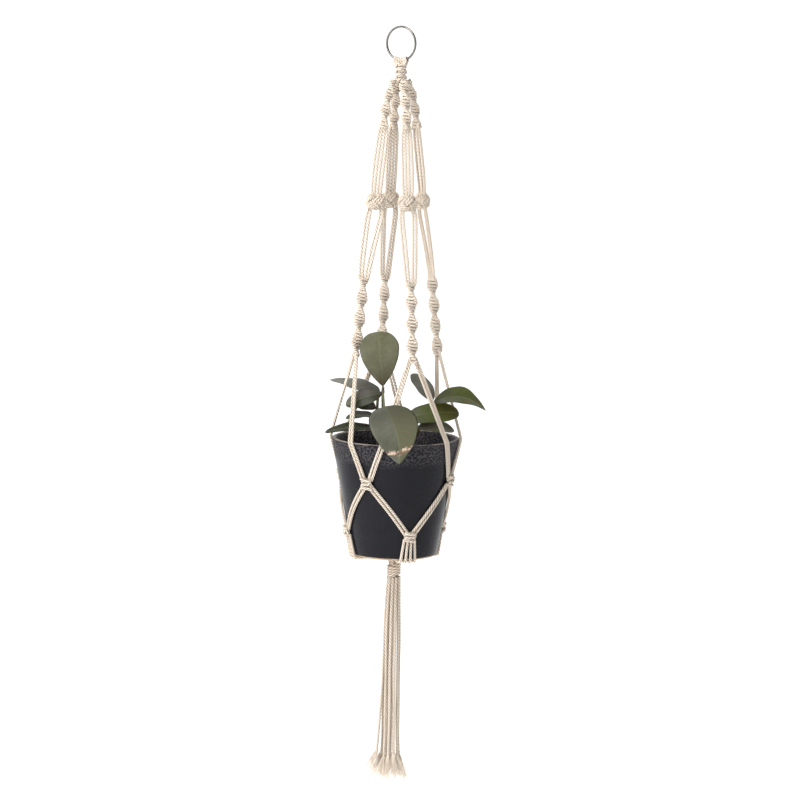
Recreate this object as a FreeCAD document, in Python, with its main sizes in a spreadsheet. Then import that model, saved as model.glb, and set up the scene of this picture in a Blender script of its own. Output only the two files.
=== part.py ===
"""Hanging macrame planter: a steel ring, a knotted cotton hanger with a tassel, a glazed pot and a plant.

Units are millimetres. The origin is the point inside the top of the ring where a hook carries it.
+Z is up along the hanging line and -Y is the front. Heights are given as drops below the hook.
"""
import FreeCAD, Part
import math
import os

from FreeCAD import Placement, Rotation, Vector

UP = Vector(0, 0, 1)

DIMENSIONS = {
    # cord and the clearances between soft pieces
    "cord_dia": 4.0,
    "row_gap": 0.7,          # between cords that lie side by side
    "seat_gap": 0.3,         # between pieces that rest on each other
    "pot_gap": 0.4,          # between the pot and the cords of the sling
    "tuck": 3.0,             # how far a cord runs into a knot
    # hanging ring
    "ring_radius": 23.0,     # to the middle of the wire
    "wire_dia": 3.0,
    "ring_turn": -32.0,      # the ring's plane, turned about Z from the XZ plane
    "loops_half_angle": 31.0,
    "loop_thick": 3.8,
    # knot under the ring and the four spirals that leave it
    "top_knot_radius": 8.5,
    "top_knot_length": 21.0,
    "top_knot_round": 2.0,
    "upper_start_radius": 10.5,
    "upper_end_radius": 24.4,
    "upper_end_drop": 137.0,
    "upper_neck": 3.5,
    "upper_lobe": 5.6,
    "upper_lobes": 3.0,
    # row of four large knots
    "crown_radius": 33.9,    # from the hanging line to a knot's middle
    "crown_drop": 238.0,
    "crown_width": 26.0,
    "crown_depth": 20.0,
    "crown_height": 25.5,
    "crown_round": 6.0,
    "crown_pair_reach": 10.0,  # from a knot's middle to each pair below it
    # lower spirals
    "lower_start_radius": 49.8,
    "lower_start_drop": 343.5,
    "lower_end_radius": 61.0,
    "lower_end_drop": 453.0,
    "lower_neck": 3.8,
    "lower_lobe": 7.5,
    "lower_lobes": 3.0,
    "collar_radius": 9.0,
    "collar_height": 9.0,
    # pot and soil
    "rim_drop": 565.7,
    "pot_height": 164.0,
    "rim_radius": 89.5,
    "foot_radius": 60.0,
    "pot_wall": 6.5,
    "pot_floor": 8.0,
    "foot_round": 3.0,
    "lip_round": 2.8,
    "soil_below_rim": 22.0,
    # sling round the pot
    "rim_bend": 12.0,        # bend of a cord over the pot's rim
    "foot_bend": 6.5,        # bend of a cord round the pot's foot
    "side_knot_drop": 621.0,
    "base_knot_drop": 695.0,
    "side_knot_height": 15.0,
    "base_knot_height": 13.0,
    "sling_knot_width": 18.0,
    "sling_knot_depth": 9.0,
    "sling_knot_round": 3.0,
    # gathering under the pot
    "swing_drop": 4.3,       # from the pot's base to the point that the gathering swings about
    "swing_slope": 30.0,     # slope of the gathering's top, which lets it swing under the pot
    "gather_radius": 9.0,
    "gather_top": 3.9,       # from the swing point up to the gathering's flat top
    "end_gap": 0.53,         # between the sixteen cords under the pot where they end
    "wrap_radius": 9.8,
    "wrap_length": 19.1,
    # plant
    "stem_dia": 4.0,
    "stalk_dia": 2.6,
    "leaf_thick": 1.6,
}

# Arms of the hanger: azimuth from +X, direction of the row of its cords, drop of its lower spiral.
ARMS = {
    "right": (21.0, 120.0, 0.0),
    "back": (111.0, 25.0, 2.0),
    "left": (201.0, 0.0, -2.5),
    "front": (291.0, 10.0, 2.5),
}
# Knots on the pot's side: the arms on either side, in order of azimuth, and the knot's azimuth.
SIDE_KNOTS = {
    "back_right": ("right", "back", 66.0),
    "back_left": ("back", "left", 156.0),
    "front_left": ("left", "front", 242.0),
    "front_right": ("front", "right", 336.0),
}
# Knots low on the pot: the side knots on either side, in order of azimuth, and the knot's azimuth.
BASE_KNOTS = {
    "right": ("front_right", "back_right", 18.0),
    "back": ("back_right", "back_left", 108.0),
    "left": ("back_left", "front_left", 198.0),
    "front": ("front_left", "front_right", 288.0),
}
RIM_SHARE = 0.72     # how far round towards its side knot a cord has come when it meets the rim
NET_RUNS = 4         # straight runs of a sling cord between two knots
FOOT_SPREAD = 1.45   # how much wider the cords of a low knot stand at the pot's foot than at the knot
UNDER_FAN = 22.5     # azimuth between neighbouring cords where they meet under the pot
SLING_SLACK = 0.4    # extra stand-off of a bent cord's points, because its runs cut inside the round pot

# Routes of the tassel's sixteen strands, for a cord of ROUTE_CORD. x, y and z of each point are from the
# middle of the wrap's underside.
ROUTE_CORD = 4.0
TASSEL_ROUTES = {
    "tassel_strand_01": [(7.8, 0.0, 0.0), (8.2, 0.4, -36.6), (9.4, -0.5, -87.6), (8.8, 0.4, -140.6),
                         (9.3, -0.3, -192.6), (9.0, 0.4, -240.6), (12.5, 1.0, -282.6)],
    "tassel_strand_02": [(6.5, 4.2, 0.0), (6.4, 5.4, -37.6), (7.2, 6.3, -88.6), (7.6, 5.9, -139.6),
                         (6.9, 6.5, -191.6), (7.6, 6.1, -239.6), (10.2, 8.0, -279.6)],
    "tassel_strand_03": [(3.3, 7.1, 0.0), (2.4, 8.7, -36.6), (2.9, 10.1, -86.6), (2.2, 10.4, -138.6),
                         (3.0, 9.9, -190.6), (2.4, 10.5, -239.6), (3.8, 13.2, -281.6)],
    "tassel_strand_04": [(-1.1, 7.7, 0.0), (-3.0, 9.3, -37.6), (-3.8, 10.7, -88.6), (-3.3, 11.2, -140.6),
                         (-4.0, 10.6, -191.6), (-3.5, 11.3, -238.6), (-4.9, 14.0, -277.6)],
    "tassel_strand_05": [(-5.1, 5.9, 0.0), (-7.8, 7.2, -36.6), (-9.0, 8.3, -87.6), (-9.5, 7.9, -139.6),
                         (-8.8, 8.6, -192.6), (-9.6, 8.2, -240.6), (-12.4, 10.1, -280.6)],
    "tassel_strand_06": [(-7.5, 2.2, 0.0), (-10.6, 2.7, -37.6), (-12.6, 2.4, -89.6), (-12.3, 3.2, -141.6),
                         (-13.0, 2.6, -192.6), (-12.6, 3.3, -239.6), (-16.4, 4.6, -278.6)],
    "tassel_strand_07": [(-7.5, -2.2, 0.0), (-10.8, -2.8, -36.6), (-12.4, -3.4, -87.6), (-13.3, -2.9, -139.6),
                         (-16.2, -3.5, -189.6), (-19.4, -3.1, -236.6), (-22.8, -3.6, -274.6)],
    "tassel_strand_08": [(-5.1, -5.9, 0.0), (-7.9, -7.3, -37.6), (-9.6, -7.9, -88.6), (-9.1, -8.5, -140.6),
                         (-9.8, -8.0, -192.6), (-9.3, -8.6, -240.6), (-12.0, -10.2, -282.6)],
    "tassel_strand_09": [(-1.1, -7.7, 0.0), (-2.8, -9.4, -36.6), (-3.2, -11.0, -86.6), (-3.9, -10.6, -138.6),
                         (-3.2, -11.2, -190.6), (-4.0, -10.8, -239.6), (-4.8, -13.6, -281.6)],
    "tassel_strand_10": [(3.3, -7.1, 0.0), (2.5, -8.7, -37.6), (3.0, -9.7, -88.6), (2.4, -10.3, -141.6),
                         (3.1, -9.8, -192.6), (2.5, -10.4, -239.6), (4.0, -12.9, -278.6)],
    "tassel_strand_11": [(6.5, -4.2, 0.0), (6.6, -5.3, -36.6), (7.5, -6.2, -87.6), (7.0, -6.7, -139.6),
                         (7.7, -6.1, -191.6), (7.2, -6.8, -240.6), (10.0, -8.4, -283.6)],
    "tassel_strand_12": [(3.35, 1.15, 0.0), (2.7, 1.6, -38.6), (2.9, 1.9, -89.6), (2.4, 2.4, -140.6),
                         (3.0, 1.8, -192.6), (2.5, 2.3, -240.6), (3.4, 3.2, -280.6)],
    "tassel_strand_13": [(-0.1, 3.55, 0.0), (-1.6, 4.2, -37.6), (-1.9, 4.9, -88.6), (-2.5, 5.3, -139.6),
                         (-1.8, 4.8, -191.6), (-2.4, 5.4, -239.6), (-2.6, 7.2, -277.6)],
    "tassel_strand_14": [(-3.4, 1.05, 0.0), (-5.6, 1.2, -38.6), (-6.8, 1.1, -87.6), (-7.1, 1.7, -140.6),
                         (-6.5, 1.1, -192.6), (-7.2, 1.6, -240.6), (-8.8, 2.0, -281.6)],
    "tassel_strand_15": [(-2.0, -2.95, 0.0), (-3.9, -3.6, -37.6), (-4.6, -4.4, -88.6), (-4.2, -4.9, -139.6),
                         (-4.9, -4.4, -191.6), (-4.4, -5.0, -239.6), (-5.6, -6.2, -278.6)],
    "tassel_strand_16": [(2.2, -2.85, 0.0), (1.0, -3.4, -38.6), (1.1, -4.0, -89.6), (1.7, -4.4, -140.6),
                         (1.0, -3.9, -192.6), (1.6, -4.5, -240.6), (2.4, -5.4, -279.6)],
}

# The plant's points are measured from the middle of the soil's surface, for a pot whose rim has PLANT_RIM as
# its radius.
PLANT_RIM = 89.5
# Stems, from the soil up. Their first points stand in the soil.
STEMS = {
    "tall": [(-10, -12, -4), (-14, -19, 31.7), (-19, -26, 65.7), (-18.5, -30, 95.7)],
    "right": [(14, -8, -4), (31, -15, 33.7), (50, -24, 72.7)],
    "left": [(-22, 2, -4), (-27, 0, 25.7), (-27, -6, 57.7), (-25, -12, 83.7)],
}
# Leaves: stalk end, tip, a direction that the upper face looks in, width and crown of the blade.
LEAVES = {
    "leaf_upright": ((-18.5, -30.5, 95.9), (-26.5, -40, 173.5), (0, -1, 0.1), 54.0, 4.0),
    "leaf_front": ((-16, -84, 75.7), (5, -104, -0.3), (0, -1, 0.3), 65.0, 5.0),
    "leaf_arching": ((50.5, -24, 73.2), (124, -32, 64.7), (0, -0.5, 1), 42.0, 17.0),
    "leaf_right_broad": ((10, -33, 50.7), (87, -20, 59.7), (0, -0.9, 0.8), 34.0, 7.0),
    "leaf_right_low": ((30, -34, 39.7), (81, -22, 34.7), (0, -0.6, 1), 28.0, 5.0),
    "leaf_right_back": ((50, -22, 75.7), (21, 2, 110.7), (0.5, -1, 0.6), 26.0, 4.0),
    "leaf_left_back": ((-25, -9, 83.7), (-94, 50, 94.7), (0, -0.5, 1), 28.0, 5.0),
    "leaf_left_mid": ((-20, -30.5, 87), (-69.5, -34, 69.5), (-0.1, -1, 0.7), 26.0, 4.0),
    "leaf_left_dark": ((-28, -8, 63.7), (-69, -14, 72.7), (0, -0.8, 1), 28.0, 4.0),
    "leaf_left_low": ((-28, -2, 50.7), (-70, -6, 47.7), (0, -0.3, 1), 24.0, 4.0),
    "leaf_rim": ((-27, -16, 35.7), (-98, -20, 29.7), (0, -0.4, 1), 24.0, 5.0),
}
# Stalks of the leaves that stand away from a stem: from the stem to the blade.
STALKS = {
    "leaf_front": [(-18.5, -31, 89.7), (-18, -60, 88.7), (-16, -85, 74.7)],
    "leaf_right_broad": [(22, -11, 15.7), (14, -24, 35.7), (10, -33, 50.7)],
    "leaf_right_low": [(27, -14, 25.7), (29, -26, 34.7), (31, -34, 39.7)],
    "leaf_rim": [(-26, 0, 23.7), (-26, -10, 31.7), (-28, -16, 35.7)],
}

doc = FreeCAD.newDocument("macrame_planter")
sheet = doc.addObject("Spreadsheet::Sheet", "Sizes")
for row, (alias, number) in enumerate(DIMENSIONS.items(), start=1):
    sheet.set("A%d" % row, alias)
    sheet.set("B%d" % row, str(number))
    sheet.setAlias("B%d" % row, alias)
doc.recompute()

pieces = []


def size(alias):
    """The number in the sheet's cell of that name."""
    return float(sheet.get(alias))


def bind(thing, **formulas):
    """Bind an object's properties to expressions of the sheet's cells."""
    for name, formula in formulas.items():
        thing.setExpression(name, formula)
    thing.recompute()


def keep(thing, label):
    """Name a finished sub-part. The label names its file."""
    thing.Label = label
    pieces.append(thing)


def group(label, members):
    """A sub-part of several separate solids."""
    compound = doc.addObject("Part::Compound", label)
    compound.Links = members
    keep(compound, label)


def polar(radius, azimuth, height):
    """A point from its distance to the hanging line, its azimuth in degrees and its height."""
    angle = math.radians(azimuth)
    return Vector(radius * math.cos(angle), radius * math.sin(angle), height)


def close_row():
    """Reaches of four cords that lie side by side."""
    pitch = size("cord_dia") + size("row_gap")
    return [pitch * (k - 1.5) for k in range(4)]


def row_points(middle, azimuth, reaches):
    """Points in a level row through a middle point."""
    return [middle + polar(reach, azimuth, 0) for reach in reaches]


def slope():
    """Angle of the pot's side from upright, in radians."""
    return math.atan2(size("rim_radius") - size("foot_radius"), size("pot_height"))


def on_pot(azimuth, height, proud, reach=0.0):
    """A point that stands proud of the pot's side, moved level round the pot by a reach."""
    radius = size("rim_radius") + (height + size("rim_drop")) * math.tan(slope())
    return polar(radius + proud / math.cos(slope()), azimuth + math.degrees(reach / radius), height)


def straight_cord(start, end):
    """A tight cord between two points."""
    cord = doc.addObject("Part::Cylinder", "tight_cord")
    bind(cord, Radius="Sizes.cord_dia / 2")
    cord.Height = (end - start).Length
    cord.Placement = Placement(start, Rotation(UP, end - start))
    return cord


def bent_path(label, points, tight=None):
    """Straight runs joined by tangent arcs, as large as they fit, or of a given radius at a tight point."""
    edges = []
    radii = []
    last = points[0]
    for k in range(1, len(points) - 1):
        before = points[k] - points[k - 1]
        after = points[k + 1] - points[k]
        half_turn = before.getAngle(after) / 2
        radius = 0.45 * min(before.Length, after.Length) / math.tan(half_turn)
        if tight and k == tight[0]:
            radius = min(radius, tight[1])
        reach = radius * math.tan(half_turn)
        before.normalize()
        after.normalize()
        leave = points[k] + after * reach
        middle = points[k] + (after - before).normalize() * radius * (1 / math.cos(half_turn) - 1)
        edges.append(Part.LineSegment(last, points[k] - before * reach).toShape())
        edges.append(Part.Arc(points[k] - before * reach, middle, leave).toShape())
        radii.append(radius)
        last = leave
    edges.append(Part.LineSegment(last, points[-1]).toShape())
    path = Part.Wire(edges)
    print("%s: %.1f mm long, radii %s" % (label, path.Length, " ".join("%.0f" % r for r in radii)))
    return path


def tube(label, points, diameter, tight=None):
    """A round tube along a bent path, checked against its section times its length."""
    path = bent_path(label, points, tight)
    section = Part.Wire(Part.makeCircle(diameter / 2, points[0], points[1] - points[0]))
    solid = path.makePipeShell([section], True, False)
    expected = math.pi * diameter ** 2 / 4 * path.Length
    if abs(solid.Volume - expected) > 0.01 * expected:
        raise ValueError("%s: volume %.1f, not section times length" % (label, solid.Volume))
    return solid


def bent_cord(label, points, tight=None):
    """A cord that bends, as an object of the document."""
    cord = doc.addObject("Part::Feature", label)
    cord.Shape = tube(label, points, size("cord_dia"), tight)
    return cord


def spiral(label, start, end, kind, collar=False):
    """A half-knot spiral as turned lobes, the last one cut in half, with a collar on top or without."""
    along = end - start
    neck, lobe, lobes = size(kind + "_neck"), size(kind + "_lobe"), size(kind + "_lobes")
    begin = size("collar_height") if collar else 0.0
    pitch = (along.Length - begin) / (lobes + 0.5)
    body = doc.addObject("PartDesign::Body", label)
    sketch = body.newObject("Sketcher::SketchObject", label + "_outline")
    sketch.AttachmentSupport = [(next(f for f in body.Origin.OriginFeatures if f.Role == "XZ_Plane"), "")]
    sketch.MapMode = "FlatFace"

    def line(*ends):
        sketch.addGeometry(Part.LineSegment(*[Vector(r, z, 0) for r, z in ends]))

    def arc(*through):
        sketch.addGeometry(Part.Arc(*[Vector(r, z, 0) for r, z in through]))

    if collar:
        line((0, 0), (size("collar_radius"), 0))
        line((size("collar_radius"), 0), (size("collar_radius"), begin / 2))
        line((size("collar_radius"), begin / 2), (neck, begin))
    else:
        line((0, 0), (neck, 0))
    for k in range(int(lobes)):
        foot = begin + k * pitch
        arc((neck, foot), (lobe, foot + pitch / 2), (neck, foot + pitch))
    foot = begin + int(lobes) * pitch
    arc((neck, foot), (neck + 0.8 * (lobe - neck), foot + pitch / 5), (lobe, along.Length))
    line((lobe, along.Length), (0, along.Length))
    line((0, along.Length), (0, 0))
    turn = body.newObject("PartDesign::Revolution", label + "_turn")
    turn.Profile = sketch
    turn.ReferenceAxis = (sketch, ["V_Axis"])
    turn.Angle = 360.0
    body.Placement = Placement(start, Rotation(UP, along))
    keep(body, label)


def rounded_block(label, width, depth, height, round_alias, place):
    """A knot as a rounded block with its middle at the placement and X along its width."""
    block = doc.addObject("Part::Box", label + "_block")
    bind(block, Length="Sizes." + width, Width="Sizes." + depth, Height="Sizes." + height)
    corner = Vector(-size(width) / 2, -size(depth) / 2, -size(height) / 2)
    block.Placement = place * Placement(corner, Rotation())
    knot = doc.addObject("Part::Fillet", label)
    knot.Base = block
    knot.Edges = [(edge, size(round_alias), size(round_alias)) for edge in range(1, 13)]
    keep(knot, label)


def level_circles(thing, height):
    """Numbers of an object's edges that are circles at a height of its own frame."""
    thing.recompute()
    found = []
    for number, edge in enumerate(thing.Shape.Edges, start=1):
        box = edge.BoundBox
        if box.ZLength < 1e-6 and abs(box.ZMin - height) < 1e-6:
            found.append(number)
    return found


def make_ring():
    """The steel ring, and the sleeve of cord loops that can slide round it."""
    middle = Vector(0, 0, size("wire_dia") / 2 - size("ring_radius"))
    upright = Rotation(UP, size("ring_turn")) * Rotation(Vector(1, 0, 0), 90)
    ring = doc.addObject("Part::Torus", "ring_wire")
    bind(ring, Radius1="Sizes.ring_radius", Radius2="Sizes.wire_dia / 2")
    ring.Placement = Placement(middle, upright)
    keep(ring, "hanging_ring")

    lowest = Rotation(UP, -90 - size("loops_half_angle"))
    sleeve = doc.addObject("Part::Torus", "loops_sleeve")
    bind(sleeve, Radius1="Sizes.ring_radius", Angle3="2 * Sizes.loops_half_angle",
         Radius2="Sizes.wire_dia / 2 + Sizes.seat_gap + Sizes.loop_thick")
    sleeve.Placement = Placement(middle, upright * lowest)
    hole = doc.addObject("Part::Torus", "loops_hole")
    bind(hole, Radius1="Sizes.ring_radius", Radius2="Sizes.wire_dia / 2 + Sizes.seat_gap")
    hole.Placement = Placement(middle, upright)
    loops = doc.addObject("Part::Cut", "loops_cut")
    loops.Base, loops.Tool = sleeve, hole
    keep(loops, "ring_loops")


def make_top_knot():
    """The knot that binds the loops under the ring. Returns the height of its underside."""
    top = -(2 * size("ring_radius") + 2 * size("seat_gap") + size("loop_thick"))
    core = doc.addObject("Part::Cylinder", "top_knot_core")
    bind(core, Radius="Sizes.top_knot_radius", Height="Sizes.top_knot_length")
    core.Placement = Placement(Vector(0, 0, top - size("top_knot_length")), Rotation())
    knot = doc.addObject("Part::Fillet", "top_knot_rounded")
    knot.Base = core
    knot.Edges = [(edge, size("top_knot_round"), size("top_knot_round")) for edge in (1, 3)]
    keep(knot, "top_knot")
    return top - size("top_knot_length")


def make_arms(top_knot_bottom):
    """The four arms: an upper spiral, tight cords, a large knot, tight cords and a lower spiral each."""
    upper_cords, middle_cords = [], []
    tuck = Vector(0, 0, size("tuck"))
    half_knot = Vector(0, 0, size("crown_height") / 2)
    half_pair = (size("cord_dia") + size("row_gap")) / 2
    reach = size("crown_pair_reach")
    spread_row = [-reach - half_pair, -reach + half_pair, reach - half_pair, reach + half_pair]
    for name, (azimuth, row_azimuth, lower) in ARMS.items():
        start = polar(size("upper_start_radius"), azimuth, top_knot_bottom)
        end = polar(size("upper_end_radius"), azimuth, -size("upper_end_drop"))
        spiral("upper_spiral_" + name, start, end, "upper")

        middle = polar(size("crown_radius"), azimuth, -size("crown_drop"))
        rounded_block("crown_knot_" + name, "crown_width", "crown_depth", "crown_height", "crown_round",
                      Placement(middle, Rotation(UP, row_azimuth)))
        tops = row_points(end + tuck, row_azimuth, close_row())
        bottoms = row_points(middle + half_knot - tuck, row_azimuth, close_row())
        upper_cords += [straight_cord(*ends) for ends in zip(tops, bottoms)]

        start = polar(size("lower_start_radius"), azimuth, -size("lower_start_drop") - lower)
        end = polar(size("lower_end_radius"), azimuth, -size("lower_end_drop") - lower)
        spiral("lower_spiral_" + name, start, end, "lower", collar=True)
        tops = row_points(middle - half_knot + tuck, row_azimuth, spread_row)
        bottoms = row_points(start - tuck, row_azimuth, close_row())
        middle_cords += [straight_cord(*ends) for ends in zip(tops, bottoms)]
    group("upper_cords", upper_cords)
    group("middle_cords", middle_cords)


def make_pot():
    """The pot, and the soil in it."""
    base = Vector(0, 0, -size("rim_drop") - size("pot_height"))
    wall_across = size("pot_wall") / math.cos(slope())
    outside = doc.addObject("Part::Cone", "pot_outside")
    bind(outside, Radius1="Sizes.foot_radius", Radius2="Sizes.rim_radius", Height="Sizes.pot_height")
    inside = doc.addObject("Part::Cone", "pot_inside")
    inner_foot = size("foot_radius") + size("pot_floor") * math.tan(slope()) - wall_across
    inside.Radius1 = inner_foot
    inside.Radius2 = size("rim_radius") - wall_across
    bind(inside, Height="Sizes.pot_height - Sizes.pot_floor")
    inside.Placement = Placement(Vector(0, 0, size("pot_floor")), Rotation())
    hollow = doc.addObject("Part::Cut", "pot_hollow")
    hollow.Base, hollow.Tool = outside, inside
    pot = doc.addObject("Part::Fillet", "pot_rounded")
    pot.Base = hollow
    lip, foot = size("lip_round"), size("foot_round")
    pot.Edges = ([(edge, lip, lip) for edge in level_circles(hollow, size("pot_height"))]
                 + [(edge, foot, foot) for edge in level_circles(hollow, 0.0)])
    pot.Placement = Placement(base, Rotation())
    keep(pot, "pot")

    gap = size("seat_gap")
    depth = size("pot_height") - size("soil_below_rim") - size("pot_floor") - gap
    soil = doc.addObject("Part::Cone", "soil_filling")
    soil.Radius1 = inner_foot - gap
    soil.Radius2 = inner_foot - gap + depth * math.tan(slope())
    soil.Height = depth
    soil.Placement = Placement(base + Vector(0, 0, size("pot_floor") + gap), Rotation())
    keep(soil, "soil")


def make_sling():
    """The knots on the pot, and the cords that run from the arms over the rim and from knot to knot."""
    tuck = size("tuck")
    for family, knots in (("side", SIDE_KNOTS), ("base", BASE_KNOTS)):
        for name, (_, _, azimuth) in knots.items():
            proud = size("pot_gap") + size("sling_knot_depth") / 2
            middle = on_pot(azimuth, -size(family + "_knot_drop"), proud)
            lean = Rotation(UP, azimuth + 90) * Rotation(Vector(1, 0, 0), math.degrees(slope()))
            rounded_block("%s_knot_%s" % (family, name), "sling_knot_width", "sling_knot_depth",
                          family + "_knot_height", "sling_knot_round", Placement(middle, lean))

    reaches = close_row()
    proud = size("pot_gap") + size("cord_dia") / 2 + SLING_SLACK
    bottom = -size("side_knot_drop") + size("side_knot_height") / 2 - tuck
    rim_cords = []
    for name, (first, second, azimuth) in SIDE_KNOTS.items():
        for arm, starts, ends in ((first, reaches[2:], reaches[:2]), (second, reaches[:2], reaches[2:])):
            arm_azimuth, _, lower = ARMS[arm]
            turn = (azimuth - arm_azimuth + 180) % 360 - 180
            end_height = -size("lower_end_drop") - lower + tuck
            spiral_end = polar(size("lower_end_radius"), arm_azimuth, end_height)
            over, low = arm_azimuth + RIM_SHARE * turn, arm_azimuth + (1 + RIM_SHARE) / 2 * turn
            for start, end in zip(starts, ends):
                route = [
                    spiral_end + polar(start, arm_azimuth + 90, 0),
                    on_pot(over, -size("rim_drop"), proud, end),
                    on_pot(low, (bottom - size("rim_drop")) / 2, proud, end),
                    on_pot(azimuth, bottom, proud, end),
                ]
                rim_cords.append(bent_cord("rim_cord", route, (1, size("rim_bend"))))
    group("rim_cords", rim_cords)

    pair = reaches[3] - reaches[1]
    top = -size("side_knot_drop") - size("side_knot_height") / 2 + tuck
    bottom = -size("base_knot_drop") + size("base_knot_height") / 2 - tuck
    net_cords = []
    for name, (first, second, azimuth) in BASE_KNOTS.items():
        for knot, way in ((first, 1), (second, -1)):
            knot_azimuth = SIDE_KNOTS[knot][2]
            turn = (azimuth - knot_azimuth + 180) % 360 - 180
            radius = on_pot(0, (top + bottom) / 2, proud).x
            across = math.radians(abs(turn)) * radius - pair
            lean = math.atan2(across, top - bottom)
            for side in (-0.5, 0.5):
                offset = side * (size("cord_dia") + size("row_gap"))
                route = []
                for k in range(NET_RUNS + 1):
                    share = k / NET_RUNS
                    height = top + (bottom - top) * share + offset * math.sin(lean)
                    reach = way * (pair / 2 * (1 - 2 * share) + offset * math.cos(lean))
                    route.append(on_pot(knot_azimuth + turn * share, height, proud, reach))
                net_cords.append(bent_cord("net_cord", route))
    group("net_cords", net_cords)
    make_base_cords(reaches, proud)


def make_base_cords(reaches, proud):
    """The sixteen cords that run from the low knots round the pot's foot to the middle of its base."""
    foot = -size("rim_drop") - size("pot_height")
    under = foot - size("pot_gap") - size("cord_dia") / 2
    end_radius = (size("cord_dia") + size("end_gap")) / (2 * math.sin(math.radians(UNDER_FAN / 2)))
    top = -size("base_knot_drop") - size("base_knot_height") / 2 + size("tuck")
    base_cords = []
    for _, _, azimuth in BASE_KNOTS.values():
        for k, reach in enumerate(reaches):
            route = [
                on_pot(azimuth, top, proud, reach),
                on_pot(azimuth, under, proud, reach * FOOT_SPREAD),
                polar(end_radius, azimuth + UNDER_FAN * (k - 1.5), under),
            ]
            base_cords.append(bent_cord("base_cord", route, (1, size("foot_bend"))))
    group("base_cords", base_cords)


def make_gathering():
    """The gathering under the pot, the wrap below it and the tassel's strands."""
    swing = Vector(0, 0, -size("rim_drop") - size("pot_height") - size("swing_drop"))
    ball = doc.addObject("Part::Sphere", "gather_ball")
    bind(ball, Radius="Sizes.gather_radius")
    lean = math.radians(size("swing_slope"))
    crown = doc.addObject("Part::Cone", "gather_crown")
    crown.Radius2 = size("gather_top") * (1 / math.cos(lean) - 1) / math.tan(lean)
    crown.Height = size("gather_top") + size("gather_radius")
    crown.Radius1 = crown.Radius2.Value + crown.Height.Value / math.tan(lean)
    crown.Placement = Placement(Vector(0, 0, -size("gather_radius")), Rotation())
    gather = doc.addObject("Part::Common", "gather_swinging")
    gather.Base, gather.Tool = ball, crown
    gather.Placement = Placement(swing, Rotation())
    keep(gather, "cord_gather")

    wrap_top = swing.z - size("gather_radius") - size("seat_gap")
    wrap = doc.addObject("Part::Cylinder", "wrap_roll")
    bind(wrap, Radius="Sizes.wrap_radius", Height="Sizes.wrap_length")
    underside = wrap_top - size("wrap_length")
    wrap.Placement = Placement(Vector(0, 0, underside), Rotation())
    keep(wrap, "gathering_wrap")
    spread = size("cord_dia") / ROUTE_CORD
    for label, route in TASSEL_ROUTES.items():
        points = [Vector(x * spread, y * spread, underside + z) for x, y, z in route]
        keep(bent_cord(label, points), label)


def leaf(label, base, tip, face, width, crown):
    """A blade: a thin cylindrical shell, arched from its base to its tip, cut to an ellipse."""
    along = tip - base
    length, thick = along.Length, size("leaf_thick")
    radius = (length ** 2 / 4 + crown ** 2) / (2 * crown)
    centre = Vector(length / 2, width, crown - radius)
    outer = Part.makeCylinder(radius + thick / 2, 2 * width, centre, Vector(0, -1, 0))
    inner = Part.makeCylinder(radius - thick / 2, 2 * width, centre, Vector(0, -1, 0))
    ellipse = Part.Ellipse(Vector(length / 2, 0, 0), length / 2, width / 2)
    outline = Part.Face(Part.Wire(ellipse.toShape())).extrude(Vector(0, 0, 3 * crown))
    outline.translate(Vector(0, 0, -crown))
    blade = doc.addObject("Part::Feature", label)
    blade.Shape = outer.cut(inner).common(outline)
    upward = Vector(*face)
    across = upward.cross(along)
    blade.Placement = Placement(base, Rotation(along, across, along.cross(across), "XYZ"))
    keep(blade, label)


def make_plant():
    """The stems with their leaf stalks, and the leaves."""
    ground = -size("rim_drop") - size("soil_below_rim")
    spread = size("rim_radius") / PLANT_RIM

    def planted(x, y, z):
        return Vector(0, 0, ground) + Vector(x, y, z) * spread

    stems = []
    for name, route in list(STEMS.items()) + list(STALKS.items()):
        diameter = size("stem_dia") if name in STEMS else size("stalk_dia")
        stem = doc.addObject("Part::Feature", "stem_" + name)
        stem.Shape = tube("stem " + name, [planted(*point) for point in route], diameter)
        stems.append(stem)
    joined = doc.addObject("Part::MultiFuse", "stems_and_stalks")
    joined.Shapes = stems
    keep(joined, "stem")
    for label, (base, tip, face, width, crown) in LEAVES.items():
        leaf(label, planted(*base), planted(*tip), face, width * spread, crown * spread)


def write_parts():
    """Check every object, then write a STEP file for each sub-part."""
    doc.recompute()
    for thing in doc.Objects:
        if "Invalid" in thing.State or "Error" in thing.State:
            raise ValueError("%s failed: %s" % (thing.Name, thing.State))
    os.makedirs("parts", exist_ok=True)
    for piece in pieces:
        shape = piece.Shape
        if shape.isNull() or not shape.isValid() or not shape.Solids:
            raise ValueError("%s has no valid solid" % piece.Label)
        shape.exportStep("parts/%s.step" % piece.Label)
    print("%d sub-parts" % len(pieces))


make_ring()
make_arms(make_top_knot())
make_pot()
make_sling()
make_gathering()
make_plant()
write_parts()
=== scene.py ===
"""Looks of a hanging macrame planter: a steel ring, a knotted cotton hanger, a glazed pot and its plant.

Everything is in metres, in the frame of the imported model: +Z up along the hanging line, -Y to the front,
and the origin where a hook would carry the ring.
"""

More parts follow.
